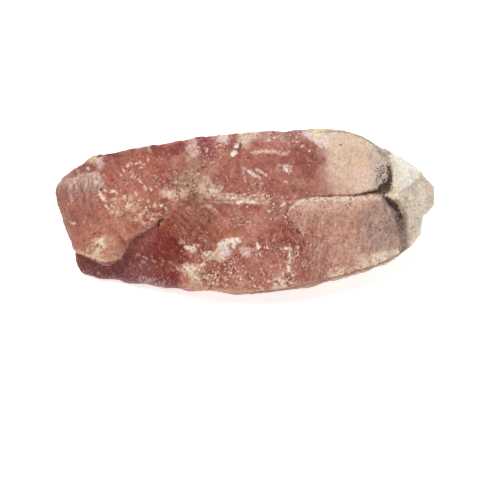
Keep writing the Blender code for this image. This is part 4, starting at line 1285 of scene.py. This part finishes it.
# Each single crumb gets a painted shadow just below and to its right.
for x, y, lean in ((-28, 10.7, 60), (-27.2, 11.2, 150), (-26.1, 11.2, 40), (-25.1, 11.3, 120),
                   (-24.9, 10.2, 20), (-23.1, 12.2, 80), (-21.5, 1.6, 130), (-19.9, 1.2, 20),
                   (-19, 0.4, 140), (-25.2, 2.4, 60)):
    half = (0.35 * math.cos(math.radians(lean)), 0.35 * math.sin(math.radians(lean)))
    crumb_path = [(x - half[0], y - half[1]), (x + half[0], y + half[1])]
    line(PALE_CRUMB, 0.95, 0.34, 0.2, crumb_path)
    line(CRUMB_SHADOW, 0.6, 0.2, 0.15, moved(crumb_path, 0.3, -0.3))
line(PINK_WHITE, 0.9, 0.4, 0.2, [(-25.7, 7.6), (-24.9, 6.7)])
line(PINK_WHITE, 0.9, 0.35, 0.2, [(-24.1, 6.1), (-23.7, 4.8)])
tell("single crumbs")

# %% [markdown]
# ## The last touches
#
# The smallest marks come last, so that nothing covers them. Calm areas are broken up by short pale and
# dark strokes, the blocks under the rim get their final tones, and chips that face the light are
# painted nearly white, their pale calcite brightened as highlight, some with painted shadows beside them.

# %% Strokes in the calm areas
UNDER_SEAM = [(-17, 0.2), (-8.6, -0.4), (-8.4, -7), (-14.6, -7), (-17, -5)]
area((178, 122, 106), 0.3, 1, UNDER_SEAM, -0.4, 0.2, small)
throw_both((214, 156, 138), (92, 36, 30), 0.6, UNDER_SEAM, 60, 85, length=(0.3, 1.4), width=0.17,
           lean=(110, 150))
area((206, 160, 142), 0.25, 1.4, [(15, -8), (27, -7), (27, -14), (16, -15.6)], -0.6, 0.2, mottle + small)
SMOKY_END = [(26.5, 0.6), (34.2, 0.8), (36.2, -3), (35.8, -8), (27, -10.4)]
LOW_PLATE = [(13.8, -6), (27, -6), (27, -13.6), (14.4, -16.8)]
throw_both((212, 184, 172), (114, 84, 72), 0.55, SMOKY_END, 110, 87, length=(0.25, 1.3), width=0.2,
           lean=(60, 150), within=1 - black_core)
throw_both((222, 182, 164), (132, 74, 62), 0.55, LOW_PLATE, 110, 89, length=(0.25, 1.3), width=0.2,
           lean=(60, 150))
area((124, 44, 32), 0.4, 1, [(-18.6, -5.4), (-14.6, -6), (-14.6, -12.4), (-18.6, -12.6)])
area((140, 92, 58), 0.3, 0.8, [(-14.4, 4.4), (-10, 4.6), (-10.2, 1.2), (-14, 1)])
area((150, 88, 66), 0.3, 1, [(-17, -0.4), (-10, -0.6), (-10, -6), (-17, -6)], -0.2, 0.3, -mottle)
tell("strokes")

# %% Bright chunks on the lobe, and strokes in the hollow
window = patch([(-35.2, -6.8), (-34.3, -6.7), (-33.7, -8.2), (-34.4, -9), (-35.5, -10.8), (-36.2, -10.4),
               (-35, -8.6)], 0.4)
lay((234, 214, 186), 0.6 * window * rise(-0.7, 0, speckle))
# Another pale line along the lip is painted highlight on its edge.
line((228, 200, 168), 0.7, 0.5, 0.3, [(-39.9, -9.7), (-37.4, -10.8), (-35.2, -11.5), (-33.2, -12)], -0.6, 0,
     small_b)
for x, y, wide in ((-27.8, 1.2, 1.3), (-28.8, 3.2, 0.7), (-26.2, 3.9, 0.6), (-23.2, 2.2, 0.6),
                   (-21.4, 1.1, 0.6), (-26.2, -2.3, 0.7), (-24.8, -0.9, 0.7), (-22.2, -2.2, 0.6),
                   (-31.8, -0.2, 0.8), (-31.6, 1.6, 0.7)):
    chunk = streak([(x - 0.5 * wide, y + 0.3 * wide), (x + 0.5 * wide, y - 0.2 * wide)], wide, 0.3)
    lay((238, 206, 174), 0.85 * chunk * rise(-0.3, 0.1, fine + 0.7 * small_b))
HOLLOW_FLOOR = [(-30, -9.4), (-21, -3.4), (-17.4, -8), (-18, -14.4), (-36, -14), (-39, -12)]
area((160, 104, 92), 0.3, 1, [(-38, -12), (-18, -12.6), (-18, -15.2), (-38, -14.6)], -0.4, 0.3,
     strokes + small)
throw((198, 136, 122), 0.5, HOLLOW_FLOOR, 90, 83, length=(0.4, 1.5), width=0.15, lean=(96, 165))
throw((84, 34, 30), 0.5, HOLLOW_FLOOR, 70, 84, length=(0.4, 1.5), width=0.16, lean=(96, 165))
DEEP_CORNER = [(-17, 0), (-9.4, -1.6), (-8.4, -9), (-12, -14), (-20, -14.4), (-21.4, -8)]
throw((190, 112, 94), 0.5, DEEP_CORNER, 90, 81, length=(0.5, 2), width=0.16, lean=(112, 150))
throw((84, 24, 22), 0.55, DEEP_CORNER, 90, 82, length=(0.5, 2), width=0.18, lean=(112, 150))
tell("chunks")

# %% Final tones of single blocks
area((136, 68, 72), 0.55, 0.8, [(-11, 17.4), (-8, 18), (-7.6, 12.4), (-10.6, 11.6)])
area((116, 60, 60), 0.5, 0.7, [(-5.2, 14.8), (-4, 18), (-2.8, 17.8), (-2.6, 14)])
area((216, 182, 176), 0.7, 0.6, [(-13.6, 17.2), (-11.6, 17.8), (-11.2, 14.2), (-12.6, 12.6), (-13.8, 14.6)],
     -0.2, 0.2, fibre + small)
area((216, 184, 176), 0.7, 0.6, [(-8.4, 18.4), (-4.2, 19.2), (-4.8, 16.8), (-6.8, 16.2)], -0.4, 0.1)
area((120, 56, 58), 0.5, 0.8, [(-17.4, 16.6), (-14.2, 17.2), (-14, 13.4), (-16.6, 12.6)], -0.4, 0.2,
     mottle + small)
for outline, tint, share, edge in (
        ([(-22.4, 15.6), (-15, 17.2), (-14.6, 13.8), (-20, 12.8), (-22.6, 13.4)], (138, 66, 60), 0.6, 0.7),
        ([(-6.2, 18.6), (-3.6, 18.9), (-3.8, 16.2), (-5.6, 16)], (228, 208, 204), 0.65, 0.5),
        ([(-2.2, 19.2), (3.6, 19.5), (2.4, 17), (0.2, 15.6), (-1.2, 16.8)], (218, 193, 175), 0.8, 0.5),
        ([(3.6, 19.6), (8.8, 19.7), (8.4, 16.8), (4.2, 16.4)], (192, 148, 144), 0.6, 0.6),
        ([(8.6, 19.6), (13.6, 19.6), (13.2, 17), (9.2, 16.8)], (146, 88, 88), 0.55, 0.6),
        ([(13.6, 19.2), (19.4, 18.8), (20.2, 15.3), (18.2, 15.2), (16.6, 16.6), (14.4, 17.6)],
         (224, 205, 199), 0.75, 0.4),
        ([(15.8, 19.6), (18.4, 19.6), (18.3, 17.6), (17.2, 17.6), (16.2, 18.6)], (230, 214, 162), 0.75, 0.3),
        ([(-1.4, -8.9), (1, -8.8), (1.2, -10.6), (-0.8, -10.9)], (224, 190, 174), 0.7, 0.5),
        ([(-2.9, -16.4), (1.8, -16.6), (1.6, -18.2), (-2.6, -18)], (208, 154, 128), 0.6, 0.6)):
    area(tint, share, edge, outline, -0.7, 0)
tell("final tones")

# %% Crumbs and the lower rim
# Each pale crumb gets a dark stroke just below it: its painted shadow.
for x, y in ((-9.2, -16.2), (-8.3, -16.7), (-7.5, -16), (-6.7, -16.6), (-5.9, -16), (-5, -15.9),
             (-4.6, -16.6), (-8.8, -17.5), (-7.7, -17.6), (-6.6, -17.6), (7, 17.2), (12.2, 17.2),
             (13.6, 15.2), (5.6, 16.7)):
    line((236, 204, 176), 0.8, 0.55, 0.2, [(x - 0.3, y), (x + 0.3, y + 0.15)], -0.5, 0, fine_b)
    line((128, 74, 54), 0.5, 0.2, 0.2, [(x - 0.2, y - 0.4), (x + 0.4, y - 0.35)])
rim_strip = [(-15.6, -17.7), (-10, -18.8), (-4, -19.3), (3, -19.7), (8, -19.2), (14, -18.2), (20, -16.9)]
line((206, 160, 132), 0.75, 1.5, 0.5, rim_strip, -0.6, 0.1, small_b + fine)
area((228, 206, 180), 0.9, 0.5, [(6.4, -16.8), (9.8, -16.4), (9.6, -18.2), (6.6, -18.9)], -0.6, -0.1)
line((208, 170, 158), 0.9, 0.9, 0.35, [(1.4, 13.6), (4, 14.2), (6, 14.2), (8, 13.8), (10.2, 13.3)], -0.5, 0,
     fine + strokes)
line((232, 204, 192), 0.8, 0.35, 0.2, [(2.6, 14), (5, 14.3), (7.4, 13.9)], -0.4, 0, fine_b)
for outline, tint in (([(29.6, -10.6), (33.4, -10.2), (33.6, -12.4), (30.2, -13.4)], (226, 210, 186)),
                      ([(34.8, -9.8), (37, -9.2), (36.8, -10.4), (35, -11.4)], (236, 226, 206)),
                      ([(19.7, -14), (24.6, -13.4), (24.9, -14.9), (20, -16.4)], (226, 202, 168)),
                      ([(27.7, -12.2), (29.6, -11.9), (29.4, -13.4), (27.6, -14)], (222, 200, 170))):
    area(tint, 0.9, 0.6, outline, -0.25, 0.1, fine + 0.9 * small_b)
# A dark line along the lower rim is painted shadow where the stone turns under.
line((96, 70, 54), 0.8, 0.4, 0.25, lower_rim, frayed=False)
tell("lower rim")

# %% Painted highlights on chips that face the light, and dark scratches
for path, wide in (([(-34.9, 4.4), (-34, 3.3), (-33.2, 1.9)], 0.4), ([(-33.4, 1.2), (-32.7, 0.5)], 0.4),
                   ([(-31.9, 4.8), (-30.3, 4.3)], 0.35), ([(-33.8, 4.9), (-33, 4.5)], 0.3),
                   ([(2.9, -7.8), (3.2, -9.2)], 0.6), ([(10, -13.2), (10.6, -14.4)], 0.9),
                   ([(10.5, -9.6), (10.7, -12.4)], 0.3), ([(-3.2, 13.2), (-2.2, 14.2)], 1),
                   ([(-2.2, 15.9), (-1.8, 14.8)], 0.6), ([(9.4, 10.4), (9.9, 9.2)], 0.8),
                   ([(8.6, 10.8), (9.2, 10.3)], 0.35), ([(-14.4, -8.6), (-12, -9.2)], 0.9),
                   ([(-8.3, 4.7), (-6.6, 4.5)], 0.6),
                   ([(-15.2, -13), (-13.2, -14.2), (-11.4, -16), (-10.6, -17.4)], 0.45),
                   ([(-9.6, -12.3), (-10.8, -13.4), (-11.6, -14.8)], 0.4),
                   ([(-2.4, 2.1), (2.6, 1.9)], 0.5)):
    line((244, 226, 210), 0.92, wide, 0.25, path, -0.6, -0.2, fine + 0.5 * small)
for path in ([(-15.2, -0.6), (-12.4, -3.6), (-9.6, -6.6)], [(-14, -0.5), (-12.6, -1.7), (-11.6, -3.2)],
             [(-12.4, -1.2), (-10.2, -3.2)], [(-15.6, -2.6), (-13.9, -4.8), (-11.6, -6.6)],
             [(-10.8, -6), (-9.4, -8.2)]):
    line((92, 30, 26), 0.7, 0.3, 0.25, path, -0.4, 0.15)
    line((204, 148, 130), 0.5, 0.2, 0.2, moved(path, 0.4, 0.35), -0.3, 0.1, fine_b)
# Dark marks beside the white chips are their painted shadows.
for path in ([(-34.6, 5), (-33.9, 4.8)], [(-2.7, 14.8), (-1.4, 14.2)], [(-1.2, 15.8), (-1, 14.8)]):
    line((60, 36, 30), 0.85, 0.35, 0.2, path)
tell("chips and scratches")

# %% Keep the paint and the fleck density on the points
kept = skin_mesh.color_attributes.new("calcite_colour", "FLOAT_COLOR", "POINT")
rgba = np.ones((len(points), 4))
rgba[:, :3] = np.clip(colour, 0.0, 1.0)
kept.data.foreach_set("color", rgba.ravel())

fleck_share = (0.05 + 0.95 * np.clip(crumbly, 0, 1)) * np.clip(on_red + 0.35 * plate + 0.2 * smoky, 0, 1)
fleck_share = fleck_share * (0.5 + 0.8 * bright) * (1 - white_patch)
flecked = skin_mesh.attributes.new("calcite_flecks", "FLOAT", "POINT")
flecked.data.foreach_set("value", np.clip(fleck_share, 0, 1))
glassy = np.clip(0.8 * hollow + 0.6 * striated + 0.4 * smoky + 0.35 * peach + 0.5 * cap, 0, 1)
crystal = skin_mesh.attributes.new("calcite_glassy", "FLOAT", "POINT")
crystal.data.foreach_set("value", glassy)
print("mean colour", colour.mean(0).round(3))

# %% [markdown]
# ## The material
#
# The attribute gives the colour down to a quarter of a millimetre. Below that, nodes take over: noise
# shifts the tone, small cells make crumbs and dark pits painted as shade, and a bump gives the tooth
# that glitters.
# Calcite lets light in, so a little of it scatters under the surface.

# %% Node helpers
stone = bpy.data.materials.new("red_calcite")
stone.use_nodes = True
tree = stone.node_tree
tree.nodes.clear()


def feed(socket, value):
    """Sets a socket to a value, or links another node's output into it."""
    if isinstance(value, bpy.types.NodeSocket):
        tree.links.new(value, socket)
    else:
        socket.default_value = value


def add(kind, inputs=(), **settings):
    """Adds a node with these settings, and feeds its sockets by name."""
    made = tree.nodes.new(kind)
    for name, value in settings.items():
        setattr(made, name, value)
    for name, value in dict(inputs).items():
        feed(made.inputs[name], value)
    return made


def remap(source, low, high, to_low, to_high):
    """Turns the range low..high of a value into another range, and stops at its ends."""
    ends = {"Value": source, "From Min": low, "From Max": high, "To Min": to_low, "To Max": to_high}
    return add("ShaderNodeMapRange", ends, interpolation_type="SMOOTHSTEP").outputs["Result"]


def mix(blend, factor, first, second):
    """Mixes two colours. The factor and either colour may be a value or another node's output."""
    made = add("ShaderNodeMix", {0: factor, 6: first, 7: second}, data_type="RGBA", blend_type=blend)
    return made.outputs[2]


def reckon(operation, first, second):
    """One sum, difference or product of two values."""
    return add("ShaderNodeMath", {0: first, 1: second}, operation=operation).outputs[0]


def multiply(first, second):
    """The product of two values."""
    return reckon("MULTIPLY", first, second)


print("an empty material,", stone.name)

# %% Tone, crumbs, pits and scratches
def noisy(size, detail, roughness=0.5, where=None, **settings):
    """A noise texture with grains of this size in millimetres."""
    values = {"Scale": 1 / (size * MM), "Detail": detail, "Roughness": roughness, "Vector": where or place}
    return add("ShaderNodeTexNoise", values, **settings)


def cell_middles(size, middle, edge):
    """1 in the middle of small cells and 0 outside. The size is in millimetres."""
    cells = add("ShaderNodeTexVoronoi", {"Scale": 1 / (size * MM), "Randomness": 1.0, "Vector": place})
    return remap(cells.outputs["Distance"], middle, edge, 1.0, 0.0)


place = add("ShaderNodeTexCoord").outputs["Object"]
painted = add("ShaderNodeAttribute", attribute_name="calcite_colour").outputs["Color"]
clear = add("ShaderNodeAttribute", attribute_name="calcite_glassy").outputs["Fac"]
dull = remap(clear, 0.0, 1.0, 1.0, 0.25)

DARK_TONE = (0.74, 0.66, 0.63, 1)
PALE_TONE = (1.20, 1.24, 1.26, 1)
TONE_STRENGTH = 0.62
PALE_CRYSTAL = (0.72, 0.56, 0.46, 1)
PIT_SHADE = (0.13, 0.036, 0.014, 1)
CRYSTAL_STRENGTH = 0.22
THREAD = (0.62, 0.42, 0.35, 1)

tone = noisy(0.7, 3.0, 0.6).outputs["Fac"]
tone_share = remap(tone, 0.3, 0.7, 0.0, 1.0)
tone_shift = mix("MIX", tone_share, DARK_TONE, PALE_TONE)
toned = mix("MULTIPLY", multiply(dull, TONE_STRENGTH), painted, tone_shift)

crowded = remap(noisy(2.6, 2.0).outputs["Fac"], 0.5, 0.62, 0.0, 1.0)
crumb_cover = multiply(multiply(cell_middles(0.45, 0.12, 0.34), crowded), dull)
crumbed = mix("MIX", multiply(crumb_cover, CRYSTAL_STRENGTH), toned, PALE_CRYSTAL)
# Small dark cells are painted shade, standing for tiny pits.
pit_shade_share = multiply(cell_middles(0.55, 0.1, 0.26), dull)
pit_shaded = mix("MIX", multiply(pit_shade_share, CRYSTAL_STRENGTH), crumbed, PIT_SHADE)

stretch = {"Rotation": (0.0, 0.35, 0.2), "Scale": (1.0, 0.22, 0.22), "Vector": place}
stretched = add("ShaderNodeMapping", stretch).outputs["Vector"]
threads = noisy(0.35, 1.0, where=stretched)
thread_share = remap(threads.outputs["Fac"], 0.62, 0.74, 0.0, 0.25)
threaded = mix("MIX", thread_share, pit_shaded, THREAD)
print(len(tree.nodes), "nodes for the tone")

# %% Flecks, each with a painted shadow beside it
def flecks(size, seed, lean, fewest, most, moved_by=0.0):
    """1 in sparse flecks that lean this many degrees on the sheet, and more where the density is high."""
    turn = Matrix.Rotation(FACE_LEAN, 3, "X") @ Matrix.Rotation(math.radians(lean), 3, "Z")
    down_right = Vector((1.0, -math.cos(FACE_LEAN), -math.sin(FACE_LEAN))) * 0.7 * moved_by * MM
    lie = {"Rotation": turn.to_euler(), "Scale": (2.0, 1.0, 1.0), "Location": down_right, "Vector": place}
    turned = add("ShaderNodeMapping", lie, vector_type="TEXTURE").outputs["Vector"]
    field = noisy(size, 2.0, where=turned, noise_dimensions="4D")
    field.inputs["W"].default_value = seed
    threshold = remap(density, 0.0, 1.0, fewest, most)
    return remap(reckon("SUBTRACT", field.outputs["Fac"], threshold), 0.0, 0.035, 0.0, 1.0)


PALE_FLECK = (0.82, 0.60, 0.49, 1)
FLECK_SHADOW = (0.12, 0.028, 0.008, 1)

density = add("ShaderNodeAttribute", attribute_name="calcite_flecks").outputs["Fac"]
pale_flecks = flecks(0.42, 3.0, 125, 0.72, 0.60)
# A dark copy of the flecks, moved down and to the right, is painted shadow beside each of them.
fleck_shadows = flecks(0.42, 3.0, 125, 0.74, 0.62, moved_by=0.26)
level_flecks = flecks(0.36, 8.0, 40, 0.74, 0.64)
fleck_shadowed = mix("MIX", multiply(fleck_shadows, 0.45), threaded, FLECK_SHADOW)
flecked_once = mix("MIX", multiply(pale_flecks, 0.88), fleck_shadowed, PALE_FLECK)
finished = mix("MIX", multiply(level_flecks, 0.75), flecked_once, PALE_FLECK)
print(len(tree.nodes), "nodes with the flecks")

# %% Gloss, tooth and the light inside
tooth_height = multiply(noisy(0.32, 3.0, 0.65).outputs["Fac"], dull)
tooth_bump = add("ShaderNodeBump", {"Strength": 0.55, "Distance": 0.12 * MM, "Height": tooth_height})
crumb_bump = add("ShaderNodeBump", {"Strength": 0.5, "Distance": 0.15 * MM, "Height": crumb_cover,
                                    "Normal": tooth_bump.outputs["Normal"]})
gloss = remap(tone, 0.3, 0.7, 0.42, 0.66)
surface = add("ShaderNodeBsdfPrincipled", {
    "Base Color": finished, "Roughness": gloss, "Normal": crumb_bump.outputs["Normal"], "IOR": 1.6,
    "Specular IOR Level": 0.22, "Subsurface Weight": 0.1, "Subsurface Scale": 1.5 * MM,
    "Subsurface Radius": (1.0, 0.45, 0.35)})
add("ShaderNodeOutputMaterial", {"Surface": surface.outputs["BSDF"]})
print("material has", len(tree.nodes), "nodes")

# %% The finished lump
SHARP_EDGE = math.radians(48)

lump = new_object("calcite_lump", skin_mesh)
skin_mesh.materials.append(stone)
skin_mesh.shade_smooth()
skin_mesh.set_sharp_from_angle(angle=SHARP_EDGE)
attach(lump, "root")
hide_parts("raw_calcite")
print("lump has", len(skin_mesh.polygons), "faces")

# %% [markdown]
# ## The studio
#
# A raw stone is shown best in flat, shadowless light, which lets its colour speak. A white room gives
# most of it. One soft lamp high on the left models the facets a little. Two weaker ones, from the
# right in front and from behind, keep the far sides open.

# %% Floor and white room
FLOOR_HALF = 3.0
PAPER_GLOW = 0.5
ROOM_LIGHT = 0.36

floor_maker = bmesh.new()
bmesh.ops.create_grid(floor_maker, x_segments=1, y_segments=1, size=FLOOR_HALF)
floor_mesh = bpy.data.meshes.new("studio_floor")
floor_maker.to_mesh(floor_mesh)
floor_maker.free()
floor = new_object("studio_floor", floor_mesh)
paper = bpy.data.materials.new("white_paper")
paper.use_nodes = True
for name, value in (("Base Color", (0.93, 0.93, 0.93, 1)), ("Roughness", 0.9), ("Specular IOR Level", 0.1),
                    ("Emission Color", (1, 1, 1, 1)), ("Emission Strength", PAPER_GLOW)):
    paper.node_tree.nodes["Principled BSDF"].inputs[name].default_value = value
floor_mesh.materials.append(paper)

room = bpy.data.worlds.new("white_room")
bpy.context.scene.world = room
room.use_nodes = True
room.node_tree.nodes["Background"].inputs["Color"].default_value = (1, 1, 1, 1)
room.node_tree.nodes["Background"].inputs["Strength"].default_value = ROOM_LIGHT
bpy.context.scene.view_settings.view_transform = "Standard"
print("floor", 2 * FLOOR_HALF, "metres wide")

# %% Three soft lamps
def soft_lamp(name, place, size, power):
    """A square lamp that points at the stone, all sizes in metres."""
    light = bpy.data.lights.new(name, "AREA")
    light.shape = "SQUARE"
    light.size = size
    light.energy = power
    lamp = new_object(name, light)
    lamp.location = place
    lamp.rotation_euler = (Vector((0, 0, 0.01)) - lamp.location).to_track_quat("-Z", "Y").to_euler()


soft_lamp("key_lamp", (-0.3, 0.0, 0.88), 0.3, 6.5)
soft_lamp("fill_lamp", (0.5, -0.6, 0.5), 0.5, 2.8)
soft_lamp("back_lamp", (0.25, 0.75, 0.5), 0.4, 2.8)
print(len(bpy.data.lights), "lamps")

# %% [markdown]
# ## The camera
#
# The camera looks squarely at the broad face from half a metre. A long lens keeps the outline true.

# %% Camera
PICTURE_PIXELS = 500
PIXELS_PER_MM = 4.2
SHEET_WIDTH = PICTURE_PIXELS / PIXELS_PER_MM
SENSOR = 36.0

looking_out = Vector(OUTWARD)
aim = Vector((EYE_ACROSS, 0, FACE_HEIGHT)) + Vector(SHEET_UP) * EYE_UP
camera_data = bpy.data.cameras.new("studio_camera")
camera_data.sensor_width = SENSOR
camera_data.lens = SENSOR * EYE_DISTANCE / SHEET_WIDTH
camera = new_object("studio_camera", camera_data)
camera.location = (aim + looking_out * EYE_DISTANCE) * MM
camera.rotation_euler = (-looking_out).to_track_quat("-Z", "Y").to_euler()
bpy.context.scene.camera = camera
print("lens %.1f mm" % camera_data.lens)
